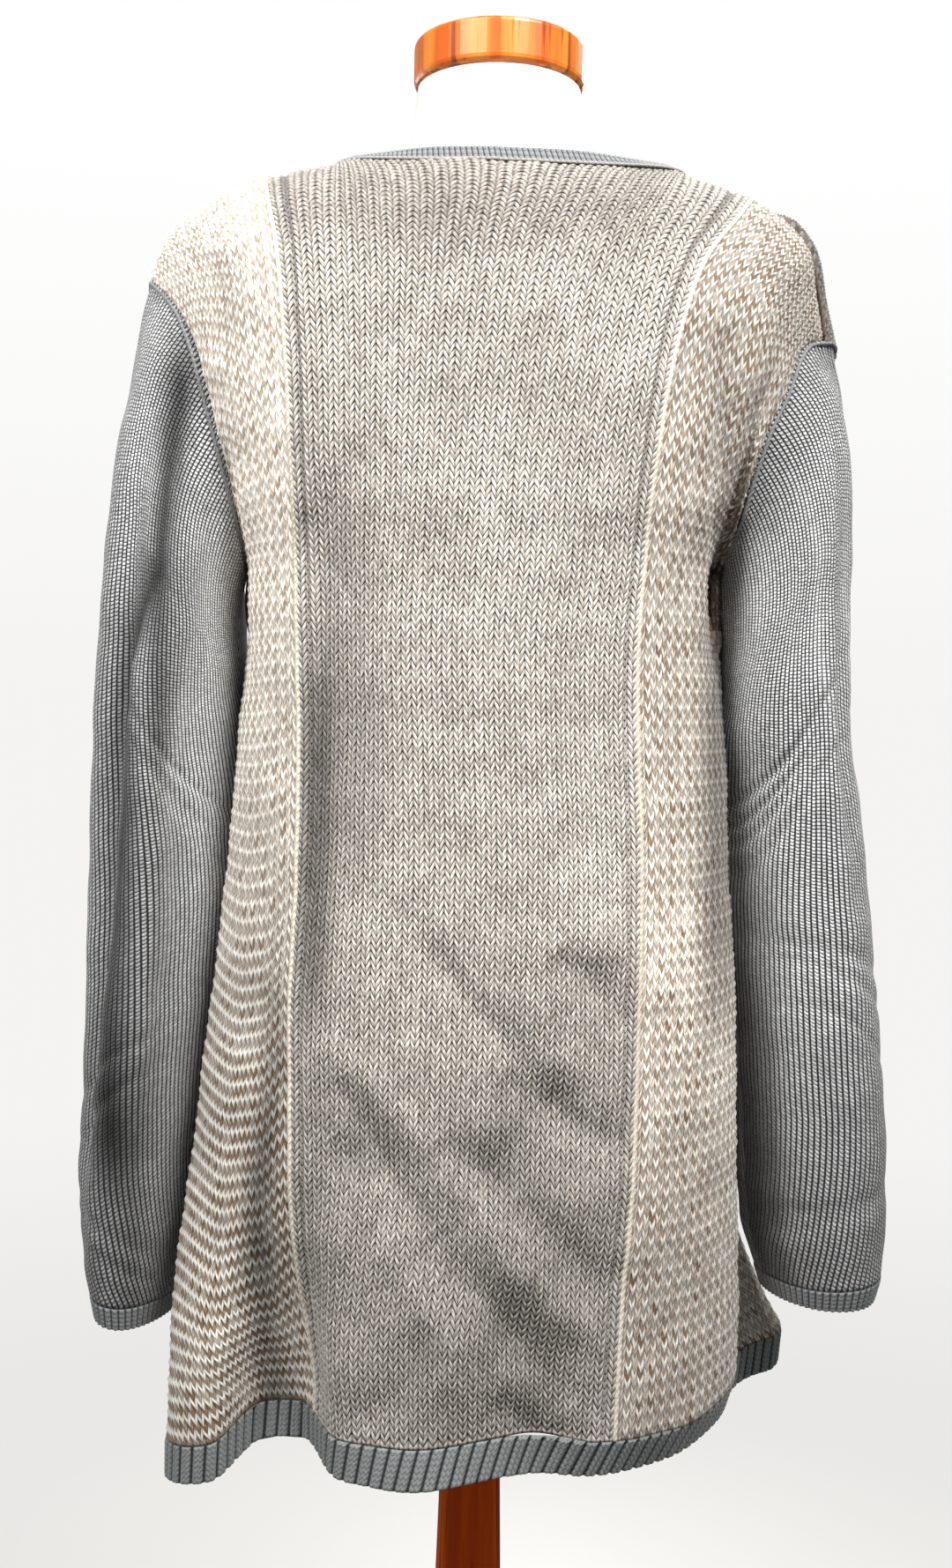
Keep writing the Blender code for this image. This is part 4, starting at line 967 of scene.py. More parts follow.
def shell(name, patch, outer, uv, q, v, lean, thick, inner_rows, inner_cols, unit, material,
          layers=None, weld=None):
    """Closes a dense outer net (rows x cols points) with a coarse inner layer. lean says for each
    column step whether its right end lies higher. weld maps each vertex to the one it joins."""
    rows, cols = outer.shape[:2]
    closed = patch.closed
    m = rows * cols
    at = np.arange(m).reshape(rows, cols)
    a, b, c, d = at[:-1, :-1], at[:-1, 1:], at[1:, 1:], at[1:, :-1]
    up = np.broadcast_to(lean, a.shape)[..., None]
    one = np.where(up, np.stack([a, b, d], -1), np.stack([a, b, c], -1))
    two = np.where(up, np.stack([b, c, d], -1), np.stack([a, c, d], -1))
    tris = [one.reshape(-1, 3), two.reshape(-1, 3)]
    iq, iv = np.linspace(0, 1, inner_cols), np.linspace(0, 1, inner_rows)
    p, n = patch.at(iq[None, :], iv[:, None])
    inner = p - n * thick
    w = m + np.arange(inner_rows * inner_cols).reshape(inner_rows, inner_cols)
    a, b, c, d = w[:-1, :-1], w[:-1, 1:], w[1:, 1:], w[1:, :-1]
    tris += [np.stack([c, b, a], -1).reshape(-1, 3), np.stack([d, c, a], -1).reshape(-1, 3)]
    strips = zip_strip(at[0], q[0], w[0], iq)
    strips += zip_strip(at[-1, ::-1], 1 - q[-1, ::-1], w[-1, ::-1], 1 - iq[::-1])
    if not closed:
        strips += zip_strip(at[:, -1], v[:, -1], w[:, -1], iv)
        strips += zip_strip(at[::-1, 0], 1 - v[::-1, 0], w[::-1, 0], 1 - iv[::-1])
    tris = np.concatenate(tris + [np.array(strips)])
    total = m + inner_rows * inner_cols
    join = np.arange(total)
    if weld is not None:
        join[:m] = weld.ravel()
    if closed:
        join[at[:, -1]] = at[:, 0]
        join[w[:, -1]] = w[:, 0]
    verts = np.concatenate([outer.reshape(-1, 3), inner.reshape(-1, 3)])
    wide = patch.wide(iv)[:, None]
    inner_uv = np.stack(
        [(iq[None, :] - 0.5 * closed) * wide / unit[0], np.broadcast_to(iv[:, None], w.shape) * unit[1]], -1
    )
    all_uv = np.concatenate([uv.reshape(-1, 2), inner_uv.reshape(-1, 2)])
    joined = join[tris]
    keep = (
        (joined[:, 0] != joined[:, 1]) & (joined[:, 1] != joined[:, 2]) & (joined[:, 0] != joined[:, 2])
    )
    tris, joined = tris[keep], joined[keep]
    if patch.flip:
        tris, joined = tris[:, ::-1], joined[:, ::-1]
    values = {"inside": np.concatenate([np.zeros(m), np.ones(total - m)])}
    for key_, grid in (layers or {}).items():
        # the inner layer gets painted shade of 0.7; every other value on it is 0
        values[key_] = np.concatenate([grid.ravel(), np.full(total - m, 0.7 if key_ == "painted_shade_and_tone" else 0.0)])
    return mesh_from(name, verts, joined, all_uv[tris].reshape(-1, 2), values, material)


# ------------------------------------------------------------ stitches as geometry
def leg_relief(a, level):
    """Height of a stitch at a place across its wale (a 0 at the wale's middle, 1 at its side) and
    up its course (level 0 between two courses, 1 on the yarn)."""
    top = np.clip(1 - np.abs(a - 0.5) * 2, 0, 1)
    return top * (0.10 + 0.90 * level) + (1 - top) * (-0.25 - 0.35 * (a > 0.5) + 0.35 * level)


def body_stitches(name, patch, cols, courses, sub, slant, high, thick, material, pitch=None,
                  hand=1, seed=0, painted_shade_and_tone=None, droop=None, ridge=0.0):
    """The knit of a body panel as geometry. cols is (place, a, wale, furrow) of each column, its
    place as a share of the width, or in metres from the first edge where pitch is given. droop
    lowers the courses by so much at a distance and a height, and ridge lifts every other one."""
    place, a, wale, furrow = cols
    rows = courses * sub + 1
    vs = (np.arange(rows) / sub)[:, None]
    ends = smooth(np.minimum(vs, courses - vs) / 1.3)
    tall = float(np.median(patch.height))
    if pitch is None:
        rise = slant * (a[None, :] - 0.5) * ends * (1 - furrow[None, :])
        v = (vs + rise) / courses
        q = np.broadcast_to(place[None, :], v.shape)
        weld = None
    else:
        room = (patch.wide(vs[:, 0] / courses)[:, None] - place[None, :]) / pitch
        rise = slant * (a[None, :] - 0.5) * ends * smooth(room) * (1 - furrow[None, :])
        v = (vs + rise) / courses
        q = np.clip(place[None, :] / patch.wide(v.ravel()).reshape(v.shape), 0, 1)
        last = np.maximum(np.argmax(q >= 1 - 1e-9, axis=1), 1)
        j = np.arange(len(place))[None, :]
        weld = np.arange(rows)[:, None] * len(place) + np.minimum(j, last[:, None])
    wide = patch.wide(v.ravel()).reshape(v.shape)
    if droop is not None:
        v = v - droop(q * wide, v) / tall
    p, n = patch.at(q, v)
    edge = np.minimum(np.minimum(q, 1 - q) * wide, np.minimum(v, 1 - v) * tall)
    fade = smooth(edge / 0.0024)
    level = ((np.arange(rows) % sub) > 0).astype(float)[:, None]
    course = np.floor(vs + 1e-6)
    side = np.floor(wale * 2 + 0.25)[None, :]
    odd = chance(side, course, seed=seed) - 0.5
    relief = high * leg_relief(a[None, :], level) * (1 + 0.30 * odd) + ridge * (course % 2)
    relief = np.where(furrow[None, :] > 0, -0.0014 * furrow[None, :], relief - 0.15 * high)
    lift = relief * fade - 0.0005 * (1 - fade)
    # yarn is never quite straight: each stitch leans a little
    dx = np.gradient(patch.p, axis=1)
    dx /= np.maximum(np.linalg.norm(dx, axis=-1, keepdims=True), 1e-12)
    across = patch.read(dx, q, v)
    sway = (chance(np.floor(wale)[None, :], course, seed=seed + 5) - 0.5) * 0.0005 * fade
    outer = p + n * lift[..., None] + across * sway[..., None]
    uv = np.stack([np.broadcast_to(hand * wale[None, :], v.shape), np.broadcast_to(vs, v.shape)], -1)
    unit = (hand * (pitch or STITCH_BODY[0]), courses)
    layers = {"furrow": np.broadcast_to(furrow[None, :], v.shape) * fade, "painted_shade_and_tone": painted_shade_and_tone(p, q * wide)}
    return shell(
        name, patch, outer, uv, q, v, np.diff(a)[None, :] > 0, thick, 60, 24, unit, material,
        layers, weld,
    )


def centre_layout():
    """Columns of a centre panel: a wale, a furrow, the field, a furrow and a wale."""
    place, a, wale, furrow = [], [], [], []
    x = u = 0.0

    def wales(count, size):
        nonlocal x, u
        for i in range(count):
            for k in range(4):
                place.append(x + size * k / 4)
                a.append((1, 0.5, 0, 0.5)[k])
                wale.append(u + k / 4)
                furrow.append(0.0)
            x += size
            u += 1

    def furrows():
        nonlocal x, u
        for k, deep in enumerate((0.0, 0.8, 1.0, 0.8)):
            place.append(x + 0.40 * k / 4)
            a.append(1)
            wale.append(u + k / 4)
            furrow.append(deep)
        x += 0.40
        u += 1

    wales(1, 1.1)
    furrows()
    wales(CENTRE_WALES, 1.0)
    furrows()
    wales(1, 1.1)
    place.append(x)
    a.append(1)
    wale.append(u)
    furrow.append(0.0)
    return np.array(place) / x, np.array(a, float), np.array(wale), np.array(furrow)


def side_layout(patch, pitch):
    """Columns of a side panel at a fixed pitch from the raised line, past its widest row."""
    count = int(math.ceil(patch.width.max() / pitch)) + 1
    k = np.arange(count * 4 + 1)
    wale = k / 4
    a = np.array([1, 0.5, 0, 0.5])[k % 4]
    furrow = np.zeros(len(wale))
    return wale * pitch, a, wale, furrow


# ------------------------------------------------------------------- ribbed bands
def rib_profile(f, single):
    """Height of a rib across its pitch. A double rib is two wales and a furrow."""
    f = f % 1.0
    if single:
        return np.cos(2 * math.pi * f)
    two = np.abs(np.sin(math.pi * np.clip(f / 0.33, 0, 2)))
    return np.where(f < 0.66, 0.35 + 0.65 * two**0.8, 0.35 - 1.45 * np.sin(math.pi * (f - 0.66) / 0.34) ** 0.8)


def ribs(name, patch, pitch, cols_per, rows, high, thick, material, single=False, open_edge=0, courses=6):
    """A ribbed band. open_edge is 0 where its free edge is the bottom, 1 where it is the top."""
    count = max(int(round(float(np.mean(patch.width)) / pitch)), 4)
    q = np.linspace(0, 1, count * cols_per + 1)[None, :]
    tall = float(np.median(patch.height))
    # rows crowd at the free edge, where the band turns in
    k = np.linspace(0, 1, rows)
    near = np.array([0.0, 0.0004, 0.001, 0.0018]) / tall
    v = np.concatenate([near, near[-1] + (1 - near[-1]) * k[1:]])
    if open_edge:
        v = 1 - v[::-1]
    v = v[:, None]
    q, v = np.broadcast_arrays(q, v)
    p, n = patch.at(q, v)
    f = q * count
    free = (v if not open_edge else 1 - v) * tall
    other = (1 - v if not open_edge else v) * tall
    r = 0.0016
    turn = 1 - np.sqrt(np.clip(1 - (1 - np.clip(free / r, 0, 1)) ** 2, 0, 1))
    relief = rib_profile(f, single) * high
    wave = 0.10 * high * np.sin(2 * math.pi * v * courses)
    lift = (relief + wave) * (0.35 + 0.65 * smooth(other / 0.002)) - turn * thick * 0.42
    odd = chance(np.floor(f), seed=3) - 0.5
    lift = lift + odd * high * 0.25 * (1 - turn)
    uv = np.stack([f, v * courses], -1)
    return shell(
        name, patch, p + n * lift[..., None], uv, q, v, False, thick, 5,
        max(count // 2, 12), (pitch, courses), material,
    )


def rope(name, path, normal, radius, flat, strands, lay, material, closed=False, lift=0.5):
    """A thin cord laid on the cloth: strands wound once in each length lay."""
    around = 8
    if closed:
        along_it = np.roll(path, -1, 0) - np.roll(path, 1, 0)
    else:
        along_it = np.gradient(path, axis=0)
    along_it /= np.linalg.norm(along_it, axis=-1, keepdims=True)
    normal = normal - along_it * (normal * along_it).sum(-1, keepdims=True)
    normal /= np.linalg.norm(normal, axis=-1, keepdims=True)
    across = np.cross(along_it, normal)
    step = np.linalg.norm(np.diff(path, axis=0), axis=-1)
    far = np.concatenate([[0], np.cumsum(step)])
    turn = far / lay * 2 * math.pi
    ang = np.linspace(0, 2 * math.pi, around, endpoint=False)
    r = radius * (1 + 0.20 * np.cos(strands * ang[None, :] - turn[:, None]))
    p = (
        path[:, None, :]
        + normal[:, None, :] * (np.cos(ang)[None, :] * r * flat + radius * lift)[..., None]
        + across[:, None, :] * (np.sin(ang)[None, :] * r)[..., None]
    )
    rows = len(path)
    at = np.arange(rows * around).reshape(rows, around)
    right = np.roll(at, -1, 1)
    a, b, c, d = at[:-1], right[:-1], right[1:], at[1:]
    tris = [np.stack([a, c, b], -1).reshape(-1, 3), np.stack([a, d, c], -1).reshape(-1, 3)]
    if closed:
        a, b, c, d = at[-1], right[-1], right[0], at[0]
        tris += [np.stack([a, c, b], -1), np.stack([a, d, c], -1)]
    else:
        tris += [np.array([(at[0, 0], at[0, k], at[0, k + 1]) for k in range(1, around - 1)])]
        tris += [np.array([(at[-1, 0], at[-1, k + 1], at[-1, k]) for k in range(1, around - 1)])]
    tris = np.concatenate(tris)
    verts = p.reshape(-1, 3)
    centre = np.repeat(path, around, 0)
    out = np.cross(verts[tris[:, 1]] - verts[tris[:, 0]], verts[tris[:, 2]] - verts[tris[:, 0]])
    if (out * (verts[tris[:, 0]] - centre[tris[:, 0]])).sum() < 0:
        tris = tris[:, ::-1]
    uv = np.stack([np.broadcast_to(ang / (2 * math.pi), (rows, around)),
                   np.broadcast_to((far / lay)[:, None], (rows, around))], -1).reshape(-1, 2)
    return mesh_from(name, verts, tris, uv[tris].reshape(-1, 2), {}, material)


# ------------------------------------------------------------------- materials
def lin(r, g, b):
    """Linear colour from a display colour of 0 to 255."""
    c = np.array([r, g, b]) / 255
    c = np.where(c <= 0.04045, c / 12.92, ((c + 0.055) / 1.055) ** 2.4)
    return (*[float(x) for x in c], 1.0)


class Net:
    """A short way to write the nodes of one material."""

    def __init__(self, name, rough, **sockets):
        self.mat = bpy.data.materials.new(name)
        self.mat.use_nodes = True
        self.tree = self.mat.node_tree
        self.shader = next(n for n in self.tree.nodes if n.type == "BSDF_PRINCIPLED")
        self.shader.inputs["Roughness"].default_value = rough
        for key_, value in sockets.items():
            self.shader.inputs[key_.replace("_", " ")].default_value = value

    def node(self, kind, inputs=(), **props):
        n = self.tree.nodes.new(kind)
        for key_, value in props.items():
            setattr(n, key_, value)
        for key_, value in dict(inputs).items():
            self.put(n.inputs[key_], value)
        return n

    def put(self, socket, value):
        if isinstance(value, bpy.types.NodeSocket):
            self.tree.links.new(value, socket)
        else:
            socket.default_value = value

    def math(self, op, a, b=0.0, clamp=False):
        return self.node("ShaderNodeMath", {0: a, 1: b}, operation=op, use_clamp=clamp).outputs[0]

    def uv(self):
        n = self.node("ShaderNodeUVMap", uv_map="Knit")
        s = self.node("ShaderNodeSeparateXYZ", {0: n.outputs[0]})
        return s.outputs[0], s.outputs[1]

    def attribute(self, name):
        return self.node("ShaderNodeAttribute", attribute_name=name).outputs["Fac"]

    def place(self, scale=(1, 1, 1)):
        n = self.node("ShaderNodeTexCoord")
        return self.node("ShaderNodeVectorMath", {0: n.outputs["Object"], 1: scale}, operation="MULTIPLY").outputs[0]

    def height(self):
        n = self.node("ShaderNodeTexCoord")
        return self.node("ShaderNodeSeparateXYZ", {0: n.outputs["Object"]}).outputs[2]

    def noise(self, vector, scale, detail=2.0, rough=0.5):
        return self.node(
            "ShaderNodeTexNoise", {"Vector": vector, "Scale": scale, "Detail": detail, "Roughness": rough}
        ).outputs[0]

    def white(self, x, y):
        v = self.node("ShaderNodeCombineXYZ", {0: x, 1: y}).outputs[0]
        return self.node("ShaderNodeTexWhiteNoise", {"Vector": v}, noise_dimensions="2D").outputs[0]

    def span(self, x, a, b, lo=0.0, hi=1.0, soft=True):
        return self.node(
            "ShaderNodeMapRange", {0: x, 1: a, 2: b, 3: lo, 4: hi},
            interpolation_type="SMOOTHSTEP" if soft else "LINEAR",
        ).outputs[0]

    def mix(self, f, a, b, how="MIX"):
        n = self.node("ShaderNodeMix", data_type="RGBA", blend_type=how)
        self.put(n.inputs[0], f)
        self.put(n.inputs[6], a)
        self.put(n.inputs[7], b)
        return n.outputs[2]

    def shade(self, colour, amount):
        """A colour made lighter or darker by a number."""
        v = self.node("ShaderNodeCombineXYZ", {0: amount, 1: amount, 2: amount}).outputs[0]
        return self.mix(1.0, colour, v, "MULTIPLY")

    def colour(self, value):
        self.put(self.shader.inputs["Base Color"], value)

    def bump(self, height, strength, distance, under=None):
        ins = {"Height": height, "Strength": strength, "Distance": distance}
        n = self.node("ShaderNodeBump", ins)
        if under is not None:
            self.put(n.inputs["Normal"], under)
        return n.outputs[0]

    def normal(self, value):
        self.put(self.shader.inputs["Normal"], value)


def fuzz(net, scale=2600.0, strength=0.35, distance=0.0004, under=None):
    """Loose fibres of the yarn."""
    return net.bump(net.noise(net.place(), scale, 2.0, 0.7), strength, distance, under)


def stitch_parts(net):
    """Masks of the knit's gaps, and random numbers for each stitch and each of its legs."""
    u, s = net.uv()
    fu, ph = net.math("FRACT", u), net.math("FRACT", s)
    a = net.math("MULTIPLY", net.math("ABSOLUTE", net.math("SUBTRACT", fu, 0.5)), 2.0)
    r = net.math("MULTIPLY", net.math("ABSOLUTE", net.math("SUBTRACT", ph, 0.5)), 2.0)
    row = net.span(r, 0.52, 0.95)
    mid = net.span(a, 0.30, 0.02)
    side = net.span(a, 0.64, 0.98)
    leg = net.white(net.math("FLOOR", net.math("MULTIPLY", u, 2.0)), net.math("FLOOR", s))
    return u, s, row, mid, side, leg


def beige_material():
    net = Net("knit_beige_yarn", 0.9, Sheen_Weight=0.15, Sheen_Roughness=0.6, Specular_IOR_Level=0.12)
    u, s, row, mid, side, leg = stitch_parts(net)
    line = net.white(net.math("FLOOR", u), 3.0)
    darker_towards_top = net.span(net.height(), 1.20, 1.36, 0.0, 0.25)
    # painted shade in the gaps between the stitches, darkest where the courses meet: the near-black deep colour stands
    # in for the shade in these hollows
    between = net.math("MAXIMUM", net.math("MULTIPLY", mid, 0.86), side)
    gap_shade = net.math("MAXIMUM", net.math("MULTIPLY", row, 0.90), net.math("MULTIPLY", between, 0.60))
    gap_shade = net.math("ADD", gap_shade, net.math("MULTIPLY", net.math("MULTIPLY", row, between), 0.36))
    gap_shade = net.math("MULTIPLY", gap_shade, net.span(net.noise(net.place((1, 1, 0.8)), 210.0, 2.0, 0.6), 0.25, 0.65, 0.70, 1.12))
    # painted shade in the furrows beside the raised lines, fainter lower down
    furrow_shade = net.math("MULTIPLY", net.attribute("furrow"), net.span(net.height(), 1.0, 1.26, 0.45, 1.0))
    furrow_shade = net.math("MULTIPLY", furrow_shade, net.math("ADD", 0.60, net.math("MULTIPLY", row, 0.40)))
    gap_shade = net.math("MAXIMUM", gap_shade, furrow_shade, clamp=True)
    pale = net.mix(net.span(net.noise(net.place((1, 1, 0.45)), 760.0, 3.0, 0.7), 0.30, 0.72), lin(196, 184, 172), lin(255, 252, 246))
    deep = net.mix(net.noise(net.place(), 60.0, 2.0), lin(12, 8, 5), lin(34, 26, 19))
    body = net.mix(gap_shade, pale, deep)
    body = net.shade(body, net.span(leg, 0.0, 1.0, 0.86, 1.14, False))
    body = net.shade(body, net.span(line, 0.0, 1.0, 0.96, 1.04, False))
    body = net.shade(body, net.span(net.noise(net.place((1, 1, 0.3)), 16.0, 2.0), 0.3, 0.7, 0.94, 1.06))
    # the whole knit is made darker towards the top, from 1.20 m up
    body = net.mix(darker_towards_top, body, lin(190, 187, 184), "MULTIPLY")
    # painted shade and a little random tone, carried on the mesh
    body = net.shade(body, net.attribute("painted_shade_and_tone"))
    net.colour(body)
    net.normal(fuzz(net))
    return net.mat


def cream_material(name, low, high, least, solid=(0.85, 0.25), top=1.0, small=(0.0, 0.9)):
    """Two-colour knit: every other course is dark, and in it every other stitch is the darker one.
    The dark yarn shows less from height low to height high, down to the share least, partly as the
    pattern thins out and partly as painted highlight, and solid is how dark its second stitches
    are at the two heights. small is how far the pattern has turned there into single dark
    stitches. top is how dark the colour is made from 1.24 m up, as painted shade."""
    net = Net(name, 0.9, Sheen_Weight=0.15, Sheen_Roughness=0.6, Specular_IOR_Level=0.12)
    u, s, row, mid, side, leg = stitch_parts(net)
    stripe = net.math("LESS_THAN", net.math("MODULO", net.math("ADD", net.math("FLOOR", s), 3000.5), 2.0), 1.0)
    pair = net.math("ADD", net.math("FLOOR", net.math("DIVIDE", s, 2.0)), net.math("FLOOR", u))
    first = net.math("LESS_THAN", net.math("MODULO", net.math("ADD", pair, 3000.5), 2.0), 1.0)
    second = net.math("MULTIPLY", net.math("SUBTRACT", 1.0, first), net.span(net.height(), low, high, *solid))
    odd = net.white(net.math("FLOOR", u), net.math("FLOOR", s))
    dark = net.math("MULTIPLY", net.math("MULTIPLY", stripe, net.math("ADD", first, second)), net.span(odd, 0.0, 0.7, 0.60, 1.0))
    each = net.math("LESS_THAN", net.math("MODULO", net.math("ADD", net.math("ADD", net.math("FLOOR", s), net.math("FLOOR", u)), 3000.5), 2.0), 1.0)
    each = net.math("MULTIPLY", each, net.span(odd, 0.0, 0.9, 0.60, 1.0))
    share = net.span(net.height(), low, high, *small)
    dark = net.math("ADD", net.math("MULTIPLY", dark, net.math("SUBTRACT", 1.0, share)), net.math("MULTIPLY", each, share))
    # partly painted highlight: the dark yarn fades towards the top
    fade = net.span(net.height(), low, high, 1.0, least)
    dark = net.math("MULTIPLY", dark, fade)
    fleck = net.span(net.noise(net.place((1, 1, 0.5)), 640.0, 3.0, 0.7), 0.3, 0.7)
    pale = net.mix(fleck, lin(246, 238, 225), lin(255, 255, 252))
    taupe = net.mix(fleck, lin(112, 84, 56), lin(172, 142, 108))
    yarn = net.mix(dark, pale, taupe)
    # painted shade in the gaps between the stitches, the brown colour standing in for their shade; less of it towards
    # the top, as painted highlight
    gap_shade = net.math("MAXIMUM", net.math("MULTIPLY", row, 0.74), net.math("MAXIMUM", net.math("MULTIPLY", mid, 0.30), net.math("MULTIPLY", side, 0.58)))
    gap_shade = net.math("MULTIPLY", gap_shade, net.span(net.height(), low + 0.15, high + 0.12, 1.0, 0.72))
    gap_shade = net.math("MULTIPLY", gap_shade, net.span(net.noise(net.place(), 190.0, 2.0, 0.6), 0.25, 0.65, 0.65, 1.1))
    gap_shade = net.math("MAXIMUM", gap_shade, net.attribute("furrow"), clamp=True)
    body = net.mix(gap_shade, yarn, lin(54, 34, 18))
    body = net.shade(body, net.span(leg, 0.0, 1.0, 0.90, 1.10, False))
    # painted shade at the top of the panel, down to the share top
    body = net.shade(body, net.span(net.height(), 1.24, 1.35, 1.0, top))
    # painted shade and a little random tone, carried on the mesh
    body = net.shade(body, net.attribute("painted_shade_and_tone"))
    # the inner layer is darker: the floats of the darker yarn lie on the wrong side, and painted shade darkens the
    # inside where it shows
    body = net.mix(net.math("MULTIPLY", net.attribute("inside"), 0.75), body, net.mix(fleck, lin(70, 54, 38), lin(120, 98, 72)))
    net.colour(body)
    net.normal(fuzz(net))
    return net.mat


def sleeve_material():
    net = Net("knit_blue_yarn", 0.88, Sheen_Weight=0.2, Sheen_Roughness=0.5, Specular_IOR_Level=0.15)
    u, v = net.uv()
    fu = net.math("FRACT", u)
    column = net.white(net.math("FLOOR", u), 7.0)
    bend = net.math("MULTIPLY", net.math("SINE", net.math("MULTIPLY", fu, math.pi)), 0.35)
    s = net.math("ADD", net.math("ADD", v, net.math("ADD", net.math("MULTIPLY", fu, 1.0), bend)), net.math("MULTIPLY", column, 0.9))
    ph = net.math("FRACT", s)
    a = net.math("MULTIPLY", net.math("ABSOLUTE", net.math("SUBTRACT", fu, 0.5)), 2.0)
    r = net.math("MULTIPLY", net.math("ABSOLUTE", net.math("SUBTRACT", ph, 0.5)), 2.0)
    across = net.span(a, 0.44, 0.92, 1.0, 0.0)
    up = net.span(r, 0.34, 0.96, 1.0, 0.42)
    yarn = net.math("MULTIPLY", across, up)
    # on the pressed ridges the stitches show less
    ridge_and_painted_highlight = net.math("MULTIPLY", net.attribute("ridge_and_painted_highlight"), 0.30)
    flat = net.mix(ridge_and_painted_highlight, yarn, (0.72, 0.72, 0.72, 1))
    yarn = net.node("ShaderNodeSeparateColor", {0: flat}).outputs[0]
    one = net.white(net.math("FLOOR", u), net.math("FLOOR", s))
    fleck = net.noise(net.place((1, 1, 0.5)), 1100.0, 3.0, 0.7)
    pale = net.mix(fleck, lin(176, 178, 181), lin(236, 237, 238))
    deep = net.mix(fleck, lin(38, 39, 42), lin(68, 69, 72))
    # painted shade between the strokes of the yarn: the deep colour stands in for the shade in these gaps
    body = net.mix(net.span(yarn, 0.16, 0.86), deep, pale)
    body = net.shade(body, net.span(one, 0.0, 1.0, 0.78, 1.12, False))
    # painted highlight: the pressed ridges are made paler
    body = net.mix(net.math("MULTIPLY", ridge_and_painted_highlight, 0.45), body, lin(196, 197, 199))
    # painted shade and a little random tone, carried on the mesh
    body = net.shade(body, net.attribute("painted_shade_and_tone"))
    body = net.shade(body, net.span(net.noise(net.place((1, 1, 0.25)), 22.0, 2.0), 0.3, 0.7, 0.92, 1.06))
    net.colour(body)
    net.normal(fuzz(net, 3000.0, 0.25, 0.0003, net.bump(yarn, 1.0, 0.0009)))
    return net.mat


def rib_material():
    net = Net("rib_blue_yarn", 0.85, Sheen_Weight=0.3, Sheen_Roughness=0.5, Specular_IOR_Level=0.25)
    u, v = net.uv()
    f = net.math("FRACT", u)
    furrow = net.math("MULTIPLY", net.span(f, 0.66, 0.80), net.span(f, 1.0, 0.90))
    wale = net.math("FRACT", net.math("DIVIDE", f, 0.33))
    a = net.math("MULTIPLY", net.math("ABSOLUTE", net.math("SUBTRACT", wale, 0.5)), 2.0)
    ph = net.math("FRACT", net.math("SUBTRACT", net.math("MULTIPLY", v, 1.0), net.math("MULTIPLY", a, 0.5)))
    stitch = net.math("POWER", net.math("SINE", net.math("MULTIPLY", ph, math.pi)), 0.8)
    fleck = net.noise(net.place((1, 1, 0.6)), 1000.0, 3.0, 0.7)
    pale = net.mix(fleck, lin(98, 103, 105), lin(158, 162, 162))
    deep = lin(34, 40, 44)
    # painted shade between the courses and in the furrow between the ribs
    body = net.mix(net.span(stitch, 0.15, 0.85, 0.62, 1.0), deep, pale)
    body = net.mix(furrow, body, deep)
    body = net.shade(body, net.span(net.noise(net.place(), 30.0, 2.0), 0.3, 0.7, 0.9, 1.08))
    net.colour(body)
    net.normal(fuzz(net, 2600.0, 0.35, 0.0004, net.bump(stitch, 0.55, 0.0006)))
    return net.mat


def fine_rib_material():
    net = Net("rib_fine_yarn", 0.85, Sheen_Weight=0.3, Sheen_Roughness=0.5, Specular_IOR_Level=0.25)
    u, v = net.uv()
    f = net.math("ABSOLUTE", net.math("SUBTRACT", net.math("FRACT", u), 0.5))
    ph = net.math("FRACT", v)
    stitch = net.math("POWER", net.math("SINE", net.math("MULTIPLY", ph, math.pi)), 0.8)
    fleck = net.noise(net.place((1, 1, 0.6)), 1100.0, 3.0, 0.7)
    pale = net.mix(fleck, lin(98, 101, 104), lin(156, 159, 161))
    # painted shade between the courses and in the furrows between the ribs
    body = net.mix(net.span(stitch, 0.1, 0.9, 0.70, 1.0), lin(46, 50, 56), pale)
    body = net.mix(net.span(f, 0.22, 0.02), body, lin(44, 48, 54))
    net.colour(body)
    net.normal(fuzz(net, 2600.0, 0.35, 0.0004, net.bump(stitch, 0.5, 0.0005)))
    return net.mat


def cord_material(name, pale, deep, rough=0.85):
    net = Net(name, rough, Sheen_Weight=0.25, Sheen_Roughness=0.6, Specular_IOR_Level=0.2)
    u, v = net.uv()
    wind = net.math("FRACT", net.math("SUBTRACT", net.math("MULTIPLY", u, 2.0), v))
    # painted shade in the grooves between the cord's strands
    groove_shade = net.span(net.math("ABSOLUTE", net.math("SUBTRACT", wind, 0.5)), 0.30, 0.5)
    fleck = net.noise(net.place(), 900.0, 3.0, 0.7)
    body = net.mix(net.math("MULTIPLY", groove_shade, 0.7), net.mix(fleck, pale, tuple(min(1, c * 1.25) for c in pale[:3]) + (1,)), deep)
    net.colour(body)
    net.normal(fuzz(net))
    return net.mat


def jersey_material():
    net = Net("form_white_jersey", 0.8, Sheen_Weight=0.3, Sheen_Roughness=0.5)
    weave = net.noise(net.place((1, 1, 0.4)), 1500.0, 2.0, 0.6)
    body = net.mix(net.noise(net.place(), 8.0, 3.0), lin(232, 230, 226), lin(246, 245, 242))
    net.colour(net.shade(body, net.span(weave, 0.3, 0.7, 0.96, 1.0)))
    net.normal(net.bump(weave, 0.3, 0.0003))
    return net.mat


